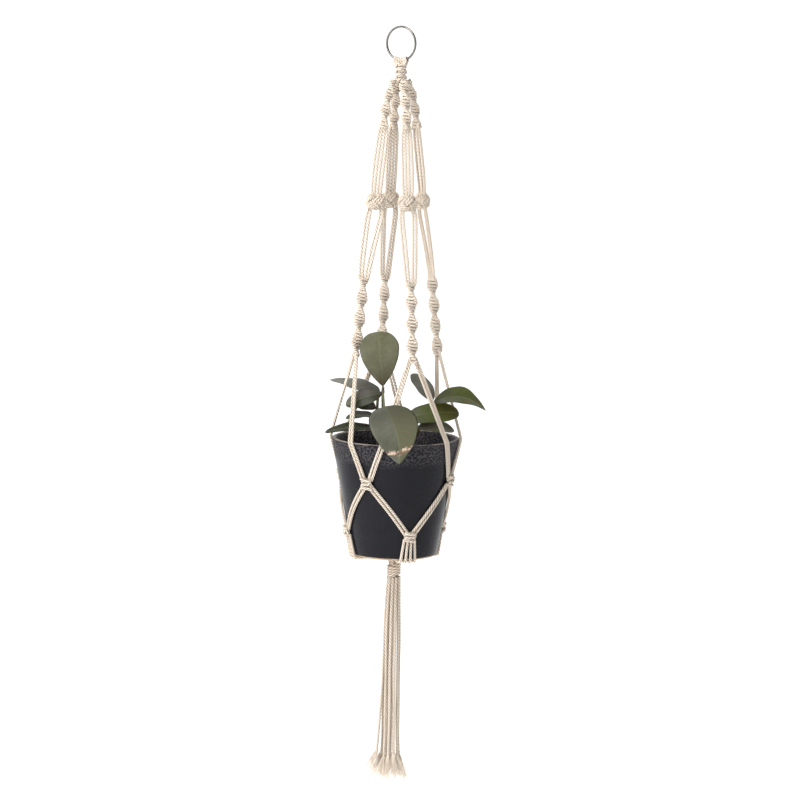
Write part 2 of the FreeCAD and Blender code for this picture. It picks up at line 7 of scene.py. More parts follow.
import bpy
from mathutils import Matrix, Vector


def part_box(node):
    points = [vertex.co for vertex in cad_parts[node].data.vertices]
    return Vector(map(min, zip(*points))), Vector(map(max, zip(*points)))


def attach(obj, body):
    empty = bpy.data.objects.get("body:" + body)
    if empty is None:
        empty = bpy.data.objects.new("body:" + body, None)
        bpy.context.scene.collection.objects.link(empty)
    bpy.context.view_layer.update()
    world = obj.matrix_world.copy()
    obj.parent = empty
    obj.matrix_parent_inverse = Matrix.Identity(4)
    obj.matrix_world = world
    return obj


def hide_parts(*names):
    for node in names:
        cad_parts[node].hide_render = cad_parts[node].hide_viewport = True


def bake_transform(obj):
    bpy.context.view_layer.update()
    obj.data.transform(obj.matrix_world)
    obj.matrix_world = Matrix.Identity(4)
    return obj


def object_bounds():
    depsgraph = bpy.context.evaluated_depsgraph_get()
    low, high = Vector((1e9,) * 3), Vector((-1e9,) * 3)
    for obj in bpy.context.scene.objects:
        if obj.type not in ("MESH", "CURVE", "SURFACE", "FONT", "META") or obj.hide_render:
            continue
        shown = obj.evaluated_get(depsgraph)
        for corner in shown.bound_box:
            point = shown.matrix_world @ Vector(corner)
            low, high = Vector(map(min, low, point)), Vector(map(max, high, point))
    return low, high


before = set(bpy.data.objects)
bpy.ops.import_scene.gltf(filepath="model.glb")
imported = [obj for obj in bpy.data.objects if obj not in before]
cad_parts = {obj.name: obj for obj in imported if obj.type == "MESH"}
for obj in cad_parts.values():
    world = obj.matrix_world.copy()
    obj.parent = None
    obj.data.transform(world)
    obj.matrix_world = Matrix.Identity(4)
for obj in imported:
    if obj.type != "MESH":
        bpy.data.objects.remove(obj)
CAD_BOX = [list(corner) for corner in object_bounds()]

import logging
import math
import random
from dataclasses import dataclass, field
from enum import Enum

import bpy
import numpy as np
from mathutils import Matrix, Vector, noise

log = logging.getLogger("macrame_planter")

MM = 0.001
SEED = 1569
UP = np.array((0.0, 0.0, 1.0))
DOWN = -UP
Socket = bpy.types.NodeSocket
# What a node's input takes: a number, a colour or another node's output.
Feed = float | tuple | Socket


class KnotStyle(Enum):
    """How the two working cords cross a sinnet's core."""

    HALF = "half knots, which spiral"
    SQUARE = "square knots, which lie flat"


class Outline(Enum):
    """How a leaf's width grows from its base and shrinks to its tip, as two powers."""

    OBOVATE = (0.95, 0.42)
    OVATE = (0.42, 0.85)
    ELLIPTIC = (0.60, 0.60)
    POINTED = (0.62, 0.95)
    BLUNT = (0.62, 0.45)


# Cords of an arm, and the middle of their row, counted from its first cord.
ARM_CORDS = 4
ROW_MIDDLE = (ARM_CORDS - 1) / 2
# How much smaller in radius the pot is at its foot than at its rim.
POT_TAPER = 29.5 * MM
# Turn between neighbours in a sunflower's pattern, in radians, which spreads points evenly over a disc.
SUNFLOWER_TURN = 2.399963

# Arms by name: direction of the row of its cords in degrees, how much lower its spiral hangs, and how far its
# upper cords stand in front of and behind their row in turn.
ARM_ROWS = {
    "right": (120.0, 0.0, -1.1 * MM),
    "back": (25.0, 2.0 * MM, 0.0),
    "left": (0.0, -2.5 * MM, 0.0),
    "front": (10.0, 2.5 * MM, 0.0),
}
# Side and base knots by name, with the neighbours on their lower and higher azimuth side.
SIDE_NEIGHBOURS = {
    "back_right": ("right", "back"),
    "back_left": ("back", "left"),
    "front_left": ("left", "front"),
    "front_right": ("front", "right"),
}
BASE_NEIGHBOURS = {
    "right": ("front_right", "back_right"),
    "back": ("back_right", "back_left"),
    "left": ("back_left", "front_left"),
    "front": ("front_left", "front_right"),
}


# ---------------- geometry helpers


def unit(vector: np.ndarray) -> np.ndarray:
    """A vector's direction, of length one."""
    return vector / np.linalg.norm(vector)


def polar(radius: float, azimuth: float, height: float) -> np.ndarray:
    """A point from its distance to the hanging line, its azimuth in degrees and its height."""
    angle = math.radians(azimuth)
    return np.array((radius * math.cos(angle), radius * math.sin(angle), height))


def middle(node: str) -> np.ndarray:
    """The middle of a CAD node's box."""
    low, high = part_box(node)
    return (np.array(low) + np.array(high)) / 2


def azimuth_of(point: np.ndarray) -> float:
    """Azimuth of a point round the hanging line, in degrees."""
    return math.degrees(math.atan2(point[1], point[0]))


def turn_between(start: float, end: float) -> float:
    """The shorter turn from one azimuth to another, in degrees."""
    return (end - start + 180) % 360 - 180


def circle(count: int) -> np.ndarray:
    """Angles evenly spaced over a full turn, in radians."""
    return np.arange(count) * math.tau / count


def round_axis(radius: np.ndarray | float, angle: np.ndarray, height: np.ndarray | float) -> np.ndarray:
    """Points round a vertical axis, from their radii, their angles in radians and their heights."""
    return np.stack([radius * np.cos(angle), radius * np.sin(angle), np.broadcast_to(height, angle.shape)],
                    axis=1)


def resample(line: np.ndarray, step: float) -> np.ndarray:
    """Points evenly spaced along a line.

    Args:
        line: Points of the line, one row each.
        step: About how far apart the new points are.

    Returns:
        The new points, with the line's own ends.
    """
    lengths = np.concatenate(([0.0], np.cumsum(np.linalg.norm(np.diff(line, axis=0), axis=1))))
    count = max(2, int(round(lengths[-1] / step)) + 1)
    places = np.linspace(0.0, lengths[-1], count)
    return np.stack([np.interp(places, lengths, line[:, k]) for k in range(3)], axis=1)


def route_line(points: list) -> np.ndarray:
    """Points along the smooth line that a route's control points give.

    Args:
        points: Control points, in order.

    Returns:
        Points of a NURBS spline of order 3 that ends on the first and last control point.
    """
    curve = bpy.data.curves.new("route", "CURVE")
    curve.dimensions = "3D"
    curve.resolution_u = 14
    spline = curve.splines.new("NURBS")
    spline.points.add(len(points) - 1)
    for knot, place in zip(spline.points, points):
        knot.co = (*place, 1.0)
    spline.order_u = 3
    spline.use_endpoint_u = True
    holder = bpy.data.objects.new("route", curve)
    mesh = bpy.data.meshes.new_from_object(holder)
    line = np.array([vertex.co for vertex in mesh.vertices])
    bpy.data.meshes.remove(mesh)
    bpy.data.objects.remove(holder)
    bpy.data.curves.remove(curve)
    return line


def carried_frames(line: np.ndarray) -> tuple[np.ndarray, np.ndarray]:
    """Two directions across a line that don't spin about it.

    Args:
        line: Points of the line.

    Returns:
        The two directions at each point.
    """
    along = np.gradient(line, axis=0)
    along /= np.linalg.norm(along, axis=1)[:, None]
    across = np.empty_like(line)
    carried = np.cross(along[0], (0.31, 0.95, 0.12))
    for place, direction in enumerate(along):
        carried = carried - direction * (carried @ direction)
        carried = carried / np.linalg.norm(carried)
        across[place] = carried
    return across, np.cross(along, across)


def tube_rings(line: np.ndarray, reach: np.ndarray, angle: np.ndarray) -> np.ndarray:
    """Rings of points round a line.

    Args:
        line: Points of the line, one for each ring.
        reach: Distance from the line, for each point of each ring.
        angle: Angle about the line in radians, for each point of each ring.

    Returns:
        The points, as rows of rings.
    """
    first, second = carried_frames(line)
    return (line[:, None, :] + first[:, None, :] * (reach * np.cos(angle))[..., None]
            + second[:, None, :] * (reach * np.sin(angle))[..., None])


def set_mask(mesh: bpy.types.Mesh, label: str, values: np.ndarray) -> None:
    """Give a mesh one number for each vertex, which a finish can read."""
    layer = mesh.attributes.new(label, "FLOAT", "POINT")
    layer.data.foreach_set("value", values.astype(np.float32).reshape(-1))


@dataclass
class MeshBatch:
    """Rings of vertices that become one piece, with a mask of painted shade and a tint for each vertex."""

    rings: list = field(default_factory=list)
    painted_shade: list = field(default_factory=list)
    tint: list = field(default_factory=list)
    quads: list = field(default_factory=list)
    caps: list = field(default_factory=list)
    count: int = 0

    def add_tube(self, rings: np.ndarray, painted_shade: np.ndarray | float = 0.0, tint: float = 0.5) -> None:
        """Add a closed tube.

        Args:
            rings: Vertices as rows of rings, all of one number of vertices.
            painted_shade: Painted shade, as a mask for each vertex of each ring, or one number for all.
            tint: One number for the tube, from 0 to 1, which shifts its colour.
        """
        length, around = rings.shape[:2]
        index = self.count + np.arange(length * around).reshape(length, around)
        here, there = index[:-1], index[1:]
        sides = (here, np.roll(here, -1, axis=1), np.roll(there, -1, axis=1), there)
        self.quads.append(np.stack(sides, axis=-1).reshape(-1, 4))
        self.caps.append(index[0][::-1].tolist())
        self.caps.append(index[-1].tolist())
        self.rings.append(rings.reshape(-1, 3))
        self.painted_shade.append(np.broadcast_to(painted_shade, (length, around)).reshape(-1))
        self.tint.append(np.full(length * around, tint))
        self.count += length * around

    def build(self, name: str, material: bpy.types.Material) -> bpy.types.Object:
        """Make the piece.

        Args:
            name: The piece's name.
            material: Its material.

        Returns:
            A smooth shaded object in the scene.
        """
        mesh = bpy.data.meshes.new(name)
        faces = np.concatenate(self.quads).tolist() + self.caps
        mesh.from_pydata(np.concatenate(self.rings).tolist(), [], faces)
        set_mask(mesh, "painted_shade", np.concatenate(self.painted_shade))
        set_mask(mesh, "tint", np.concatenate(self.tint))
        mesh.polygons.foreach_set("use_smooth", [True] * len(mesh.polygons))
        mesh.materials.append(material)
        mesh.update()
        piece = bpy.data.objects.new(name, mesh)
        bpy.context.scene.collection.objects.link(piece)
        return piece


@dataclass(frozen=True)
class Cord:
    """A twisted cotton cord. Shoulders and valleys are shares of its radius. Its painted shade is a mask from
    0 to 1: full in the valleys between its strands, partial on their shoulders, and never below a least
    share.
    """

    radius: float = 2.0 * MM
    lay_length: float = 14.5 * MM
    strands: int = 3
    shoulder: float = 0.90
    valley: float = 0.42
    shoulder_shade: float = 0.25
    least_shade: float = 0.0
    step: float = 1.15 * MM

    def sweep(self, batch: MeshBatch, line: np.ndarray, tint: float, spin: float,
              taper: tuple = (1.0, 1.0)) -> None:
        """Lay the cord along a line.

        Args:
            batch: The batch that takes the cord's faces.
            line: Points of its centre line.
            tint: The cord's tint, from 0 to 1.
            spin: Turn of its strands at the start, in radians.
            taper: Shares of the full radius at evenly spaced places.
        """
        line = resample(line, self.step)
        profile = np.array((1.0, self.shoulder, self.valley, self.shoulder) * self.strands)
        painted_shade = np.array((0.0, self.shoulder_shade, 1.0, self.shoulder_shade) * self.strands)
        travelled = np.arange(len(line)) * self.step
        angle = spin + circle(len(profile)) - travelled[:, None] * math.tau / self.lay_length
        shares = np.interp(np.linspace(0, 1, len(line)), np.linspace(0, 1, len(taper)), taper)
        rings = tube_rings(line, self.radius * profile * shares[:, None], angle)
        # Painted shade in the valleys between the strands, never below the cord's least share.
        batch.add_tube(rings, np.maximum(painted_shade, self.least_shade), tint)


@dataclass(frozen=True)
class Sinnet:
    """A row of knots that two working cords make round a core, from its top down.

    Widths and depths are to the working cords' centre lines. The core is a pair for each core cord, its place
    across the sinnet and its place out of it, and turn is each knot's own turn in degrees.
    """

    top: np.ndarray
    bottom: np.ndarray
    across: np.ndarray
    knots: int
    half_width: float
    half_depth: float
    cord: Cord
    core: tuple
    core_radius: float
    sag: float
    style: KnotStyle = KnotStyle.HALF
    turn: float = 0.0
    first_width: float = 1.0
    bow: float = 0.0
    bunching: float = 0.72
    uneven: float = 0.13
    square_shoulder: float = 0.8
    tint_range: float = 0.4
    core_shade: float = 0.65
    core_step: float = 2.0 * MM
    samples: int = 22
    core_samples: int = 6

    @property
    def length(self) -> float:
        """Distance from its top to its bottom."""
        return np.linalg.norm(self.bottom - self.top)

    def place(self, along: np.ndarray, sideways: np.ndarray | float,
              outward: np.ndarray | float) -> np.ndarray:
        """World points of a line in the sinnet.

        Args:
            along: Distance of each point from the top.
            sideways: How far it lies across the sinnet, before the turn.
            outward: How far it lies out of the sinnet's plane, before the turn.

        Returns:
            The points, turned about the axis as far as the knots above them turn.
        """
        axis = unit(self.bottom - self.top)
        side = unit(self.across - axis * (self.across @ axis))
        depth = np.cross(side, axis)
        angle = math.radians(self.turn) * np.clip(along, 0, self.length) / (self.length / self.knots)
        x = sideways * np.cos(angle) - outward * np.sin(angle)
        y = sideways * np.sin(angle) + outward * np.cos(angle)
        share = np.clip(along / self.length, 0, 1)
        bulge = side * (self.bow * np.sin(math.pi * share))[:, None]
        return self.top + axis * along[:, None] + bulge + side * x[:, None] + depth * y[:, None]

    def working_line(self, strand: int, rng: random.Random) -> np.ndarray:
        """The line of one of the two working cords.

        Args:
            strand: 0 or 1.
            rng: Source of the small unevenness between knots.

        Returns:
            Points from the top to the bottom.
        """
        count = np.linspace(0.0, self.knots, self.knots * self.samples + 1)
        phase = math.pi * (count + strand)
        along = self.length / self.knots * (count + self.bunching / math.tau * np.sin(math.tau * count))
        along = along + self.sag * np.sin(math.pi * count) ** 2
        widths = [1.0 + rng.uniform(-self.uneven, self.uneven) for _ in range(self.knots + 2)]
        widths[0] = widths[0] * self.first_width
        width = self.half_width * np.interp(count, np.arange(self.knots + 2), widths)
        if self.style is KnotStyle.HALF:
            outward = self.half_depth * np.sin(phase)
        else:
            outward = self.half_depth * (1 - 2 * strand) * np.abs(np.sin(phase)) ** self.square_shoulder
        return self.place(along, width * np.cos(phase), outward)

    def build(self, name: str, finish: bpy.types.Material, rng: random.Random) -> bpy.types.Object:
        """Make the working cords, and the core cords at their places across and out of the sinnet.

        Args:
            name: The piece's name.
            finish: Its material.
            rng: Source of tints and unevenness.

        Returns:
            The piece.
        """
        batch = MeshBatch()
        for strand in (0, 1):
            line = self.working_line(strand, rng)
            # Painted light: the working cords keep to the lighter end of the cotton's tints, which brightens
            # the knots.
            self.cord.sweep(batch, line, self.tint_range * rng.random(), rng.uniform(0, math.tau))
        # The core cords show between the knots. They get painted shade all over for the shadow in the recess
        # behind the working cords.
        thin = Cord(radius=self.core_radius, step=self.core_step, least_shade=self.core_shade)
        along = np.linspace(0.0, self.length, self.knots * self.core_samples + 1)
        for sideways, outward in self.core:
            thin.sweep(batch, self.place(along, sideways, outward), rng.random(), rng.uniform(0, math.tau))
        return batch.build(name, finish)


# ---------------- finishes


@dataclass
class Shader:
    """A material's node tree, with short ways to add nodes and join them."""

    name: str

    def __post_init__(self) -> None:
        """Make the material with its Principled BSDF and output."""
        self.material = bpy.data.materials.new(self.name)
        self.material.use_nodes = True
        self.tree = self.material.node_tree
        self.tree.nodes.clear()
        self.output = self.add("ShaderNodeOutputMaterial")
        self.bsdf = self.add("ShaderNodeBsdfPrincipled")
        self.join(self.bsdf.outputs["BSDF"], self.output.inputs["Surface"])

    def add(self, kind: str, **values: str | bool) -> bpy.types.Node:
        """Add a node and set its properties.

        Args:
            kind: The node's type.
            values: Values of its properties, by name.

        Returns:
            The node.
        """
        node = self.tree.nodes.new(kind)
        for key, value in values.items():
            setattr(node, key, value)
        return node

    def join(self, source: Socket, target: Socket) -> None:
        """Link two sockets."""
        self.tree.links.new(source, target)

    def group(self, tree: bpy.types.NodeTree, **inputs: Feed) -> bpy.types.Node:
        """Place a node group with its own values.

        Args:
            tree: The group.
            inputs: Values or sockets by input name, with underscores for spaces.

        Returns:
            The group's node.
        """
        node = self.add("ShaderNodeGroup")
        node.node_tree = tree
        for key, value in inputs.items():
            self.feed(node.inputs[key.replace("_", " ")], value)
        return node

    def feed(self, target: Socket, value: Feed) -> None:
        """Set a socket to a value, or link it to a socket.

        Args:
            target: The input socket.
            value: A value, or the output socket to link.
        """
        if isinstance(value, Socket):
            self.join(value, target)
        else:
            target.default_value = value

    def mask(self, attribute: str) -> Socket:
        """The value of a mesh attribute."""
        return self.add("ShaderNodeAttribute", attribute_name=attribute).outputs["Fac"]

    def mix(self, share: Feed, first: Feed, second: Feed) -> Socket:
        """A colour between two others, by a share from 0 to 1.

        Args:
            share: Share of the second colour.
            first: The first colour.
            second: The second colour.

        Returns:
            The mixed colour.
        """
        node = self.add("ShaderNodeMix", data_type="RGBA")
        self.feed(node.inputs[0], share)
        self.feed(node.inputs[6], first)
        self.feed(node.inputs[7], second)
        return node.outputs[2]

    def math(self, operation: str, first: Feed, second: Feed = 0.0, clamp: bool = False) -> Socket:
        """The result of one calculation.

        Args:
            operation: What to calculate.
            first: The first value.
            second: The second value.
            clamp: Whether the result stays from 0 to 1.

        Returns:
            The result.
        """
        node = self.add("ShaderNodeMath", operation=operation, use_clamp=clamp)
        self.feed(node.inputs[0], first)
        self.feed(node.inputs[1], second)
        return node.outputs[0]

    def times(self, first: Feed, second: Feed) -> Socket:
        """The product of two values."""
        return self.math("MULTIPLY", first, second)

    def plus(self, first: Feed, second: Feed) -> Socket:
        """The sum of two values."""
        return self.math("ADD", first, second)

    def ramp(self, value: Feed, low: float, high: float) -> Socket:
        """A smooth step from 0 at low to 1 at high.

        Args:
            value: What drives the step.
            low: Where it starts.
            high: Where it ends.

        Returns:
            The step, from 0 to 1.
        """
        node = self.add("ShaderNodeMapRange", interpolation_type="SMOOTHSTEP")
        self.feed(node.inputs["Value"], value)
        node.inputs["From Min"].default_value = low
        node.inputs["From Max"].default_value = high
        return node.outputs["Result"]

    def place(self, axis: str) -> Socket:
        """A coordinate of the surface point in the object's own frame."""
        node = self.add("ShaderNodeSeparateXYZ")
        self.join(self.add("ShaderNodeTexCoord").outputs["Object"], node.inputs[0])
        return node.outputs[axis]

    def bump(self, height: Socket, strength: float, distance: float) -> None:
        """Feed the surface's normal from a height.

        Args:
            height: The height.
            strength: Share of the effect.
            distance: How high a height of 1 stands.
        """
        node = self.add("ShaderNodeBump")
        node.inputs["Strength"].default_value = strength
        node.inputs["Distance"].default_value = distance
        self.join(height, node.inputs["Height"])
        self.join(node.outputs["Normal"], self.bsdf.inputs["Normal"])

    def settle(self, **values: Feed) -> None:
        """Set or link inputs of the Principled BSDF, by name with underscores for spaces."""
        for key, value in values.items():
            self.feed(self.bsdf.inputs[key.replace("_", " ")], value)


class Groups:
    """The node groups that several finishes share."""

    _made: dict = {}

    @classmethod
    def _start(cls, name: str, inputs: dict, outputs: dict) -> tuple:
        """An empty group with named sockets, and its input and output nodes.

        Args:
            name: The group's name.
            inputs: Value of each input, by name.
            outputs: Socket type of each output, by name.

        Returns:
            The group and the two nodes.
        """
        tree = bpy.data.node_groups.new(name, "ShaderNodeTree")
        for label, value in inputs.items():
            socket = tree.interface.new_socket(label, in_out="INPUT", socket_type="NodeSocketFloat")
            socket.default_value = value
        for label, kind in outputs.items():
            tree.interface.new_socket(label, in_out="OUTPUT", socket_type=kind)
        return tree, tree.nodes.new("NodeGroupInput"), tree.nodes.new("NodeGroupOutput")

    @classmethod
    def mottle(cls) -> bpy.types.NodeTree:
        """Soft blotches of two sizes, as a mask from 0 to 1.

        Returns:
            The group.
        """
        if "mottle" not in cls._made:
            inputs = {"Scale": 30.0, "Fine Scale": 300.0, "Fine Share": 0.4}
            tree, given, result = cls._start("Mottle", inputs, {"Mask": "NodeSocketFloat"})
            place = tree.nodes.new("ShaderNodeTexCoord")
            masks = []
            for label in ("Scale", "Fine Scale"):
                pattern = tree.nodes.new("ShaderNodeTexNoise")
                pattern.inputs["Detail"].default_value = 4.0
                tree.links.new(place.outputs["Object"], pattern.inputs["Vector"])
                tree.links.new(given.outputs[label], pattern.inputs["Scale"])
                masks.append(pattern.outputs["Fac"])
            mixed = tree.nodes.new("ShaderNodeMix")
            tree.links.new(given.outputs["Fine Share"], mixed.inputs[0])
            tree.links.new(masks[0], mixed.inputs[2])
            tree.links.new(masks[1], mixed.inputs[3])
            spread = tree.nodes.new("ShaderNodeMapRange")
            spread.inputs["From Min"].default_value = 0.32
            spread.inputs["From Max"].default_value = 0.68
            tree.links.new(mixed.outputs[0], spread.inputs["Value"])
            tree.links.new(spread.outputs["Result"], result.inputs["Mask"])
            cls._made["mottle"] = tree
        return cls._made["mottle"]

    @classmethod
    def specks(cls) -> bpy.types.NodeTree:
        """Small round spots, as a mask and as a height.

        Returns:
            The group.
        """
        if "specks" not in cls._made:
            outputs = {"Mask": "NodeSocketFloat", "Height": "NodeSocketFloat"}
            tree, given, result = cls._start("Specks", {"Scale": 300.0, "Size": 0.25}, outputs)
            place = tree.nodes.new("ShaderNodeTexCoord")
            cells = tree.nodes.new("ShaderNodeTexVoronoi")
            tree.links.new(place.outputs["Object"], cells.inputs["Vector"])
            tree.links.new(given.outputs["Scale"], cells.inputs["Scale"])
            edge = tree.nodes.new("ShaderNodeMapRange")
            edge.interpolation_type = "SMOOTHSTEP"
            edge.inputs["To Min"].default_value = 1.0
            edge.inputs["To Max"].default_value = 0.0
            tree.links.new(cells.outputs["Distance"], edge.inputs["Value"])
            tree.links.new(given.outputs["Size"], edge.inputs["From Max"])
            tree.links.new(edge.outputs["Result"], result.inputs["Mask"])
            tree.links.new(cells.outputs["Distance"], result.inputs["Height"])
            cls._made["specks"] = tree
        return cls._made["specks"]


@dataclass(frozen=True)
class CottonFinish:
    """Unbleached twisted cotton: cream, matte, a little uneven, with painted shade between its strands and on
    its hidden cords.
    """

    name: str = "cotton"
    light: tuple = (0.846, 0.760, 0.664, 1.0)
    warm: tuple = (0.770, 0.668, 0.548, 1.0)
    shade: tuple = (0.16, 0.105, 0.06, 1.0)
    sheen_tint: tuple = (1.0, 0.95, 0.86, 1.0)
    warm_share: float = 0.42
    shade_share: float = 0.92
    fibre_scale: float = 1700.0
    fibre_height: float = 0.35 * MM

    def material(self) -> bpy.types.Material:
        """Build the finish.

        Returns:
            The material.
        """
        s = Shader(self.name)
        blotch = s.group(Groups.mottle(), Scale=55.0, Fine_Scale=900.0, Fine_Share=0.45).outputs["Mask"]
        uneven = s.math("MULTIPLY", s.plus(blotch, s.mask("tint")), self.warm_share, clamp=True)
        body = s.mix(uneven, self.light, self.warm)
        # Painted shade: the mesh's mask darkens the cotton towards the shade colour in grooves and hollows.
        painted_shade = s.times(s.mask("painted_shade"), self.shade_share)
        s.settle(Base_Color=s.mix(painted_shade, body, self.shade), Roughness=0.92, Specular_IOR_Level=0.12,
                 Sheen_Weight=0.15, Sheen_Roughness=0.45, Sheen_Tint=self.sheen_tint)
        fibre = s.add("ShaderNodeTexNoise")
        fibre.inputs["Scale"].default_value = self.fibre_scale
        fibre.inputs["Detail"].default_value = 3.0
        s.join(s.add("ShaderNodeTexCoord").outputs["Object"], fibre.inputs["Vector"])
        s.bump(fibre.outputs["Fac"], strength=0.5, distance=self.fibre_height)
        return s.material


@dataclass(frozen=True)
class SteelFinish:
    """Plated steel wire: grey, satin, with darker patches."""

    name: str = "ring steel"
    light: tuple = (0.25, 0.235, 0.215, 1.0)
    dark: tuple = (0.085, 0.078, 0.070, 1.0)
    polish: float = 0.24
    wear: float = 0.18

    def material(self) -> bpy.types.Material:
        """Build the finish.

        Returns:
            The material.
        """
        s = Shader(self.name)
        patches = s.group(Groups.mottle(), Scale=120.0, Fine_Scale=1500.0, Fine_Share=0.5).outputs["Mask"]
        s.settle(Base_Color=s.mix(patches, self.light, self.dark), Metallic=1.0,
                 Roughness=s.plus(s.times(patches, self.wear), self.polish))
        s.bump(patches, strength=0.15, distance=0.1 * MM)
        return s.material


@dataclass(frozen=True)
class GlazeFinish:
    """Dark blue-black glaze: satin below, rough and pitted under the rim, bare clay at the foot; its pale
    pits carry painted glints and its worn lip a painted highlight.
    """

    rim: float
    foot: float
    name: str = "pot glaze"
    body: tuple = (0.0062, 0.0063, 0.0090, 1.0)
    cloud: tuple = (0.0105, 0.0108, 0.0145, 1.0)
    pit_glint: tuple = (0.120, 0.108, 0.115, 1.0)
    rim_wear_highlight: tuple = (0.36, 0.31, 0.26, 1.0)
    clay: tuple = (0.42, 0.30, 0.20, 1.0)
    band: float = 30 * MM
    band_full: float = 0.55
    band_wobble: float = 9 * MM
    pit_glint_share: float = 0.75
    wear_highlight_share: float = 0.8
    bare_top: float = 3.4 * MM
    bare_full: float = 2.4 * MM
    bare_wobble: float = 1.2 * MM
    smooth: float = 0.20
    cloud_rough: float = 0.10
    band_rough: float = 0.26
    bare_rough: float = 0.5
    cloud_relief: float = 0.08
    pit_depth: float = 0.5 * MM

    def material(self) -> bpy.types.Material:
        """Build the finish.

        Returns:
            The material.
        """
        s = Shader(self.name)
        height = s.place("Z")
        cloudy = s.group(Groups.mottle(), Scale=22.0, Fine_Scale=260.0, Fine_Share=0.35).outputs["Mask"]
        colour = s.mix(cloudy, self.body, self.cloud)
        wobbly = s.plus(height, s.times(cloudy, self.band_wobble))
        band = s.ramp(wobbly, self.rim - self.band, self.rim - self.band_full * self.band)
        specks = s.group(Groups.specks(), Scale=430.0, Size=0.70)
        # Pale pits in the rough band: the glaze's own pitting, lightened further as painted glints of light
        # on them.
        pitted = s.times(band, specks.outputs["Mask"])
        colour = s.mix(s.times(pitted, self.pit_glint_share), colour, self.pit_glint)
        # The lip's top: worn, paler glaze, which also stands in as a painted highlight.
        edge = s.times(s.mask("rim_edge"), s.ramp(cloudy, 0.05, 0.55))
        colour = s.mix(s.times(edge, self.wear_highlight_share), colour, self.rim_wear_highlight)
        ragged = s.plus(height, s.times(cloudy, self.bare_wobble))
        bare = s.ramp(ragged, self.foot + self.bare_top, self.foot + self.bare_full)
        colour = s.mix(bare, colour, self.clay)
        rough = s.plus(s.times(band, self.band_rough), s.times(cloudy, self.cloud_rough))
        rough = s.plus(rough, self.smooth)
        rough = s.math("ADD", rough, s.times(bare, self.bare_rough), clamp=True)
        s.settle(Base_Color=colour, Roughness=rough, Specular_IOR_Level=0.13)
        relief = s.times(specks.outputs["Height"], band)
        relief = s.plus(relief, s.times(cloudy, self.cloud_relief))
        s.bump(relief, strength=0.8, distance=self.pit_depth)
        return s.material


@dataclass(frozen=True)
class SoilFinish:
    """Dark potting soil with bark crumbs."""

    name: str = "potting soil"
    dark: tuple = (0.020, 0.013, 0.009, 1.0)
    crumb: tuple = (0.085, 0.052, 0.032, 1.0)

    def material(self) -> bpy.types.Material:
        """Build the finish.

        Returns:
            The material.
        """
        s = Shader(self.name)
        grain = s.group(Groups.mottle(), Scale=160.0, Fine_Scale=900.0, Fine_Share=0.5).outputs["Mask"]
        s.settle(Base_Color=s.mix(grain, self.dark, self.crumb), Roughness=0.95, Specular_IOR_Level=0.2)
        s.bump(grain, strength=0.9, distance=0.8 * MM)
        return s.material


@dataclass(frozen=True)
class StemFinish:
    """Fleshy stem: purple-brown with green where it is young."""

    name: str = "plant stem"
    old: tuple = (0.055, 0.030, 0.026, 1.0)
    young: tuple = (0.095, 0.115, 0.042, 1.0)
    streak_share: float = 0.25

    def material(self) -> bpy.types.Material:
        """Build the finish.

        Returns:
            The material.
        """
        s = Shader(self.name)
        streak = s.group(Groups.mottle(), Scale=90.0, Fine_Scale=700.0, Fine_Share=0.4).outputs["Mask"]
        young = s.math("ADD", s.mask("tint"), s.times(streak, self.streak_share), clamp=True)
        s.settle(Base_Color=s.mix(young, self.old, self.young), Roughness=0.5, Specular_IOR_Level=0.45,
                 Subsurface_Weight=0.05)
        s.bump(streak, strength=0.3, distance=0.3 * MM)
        return s.material


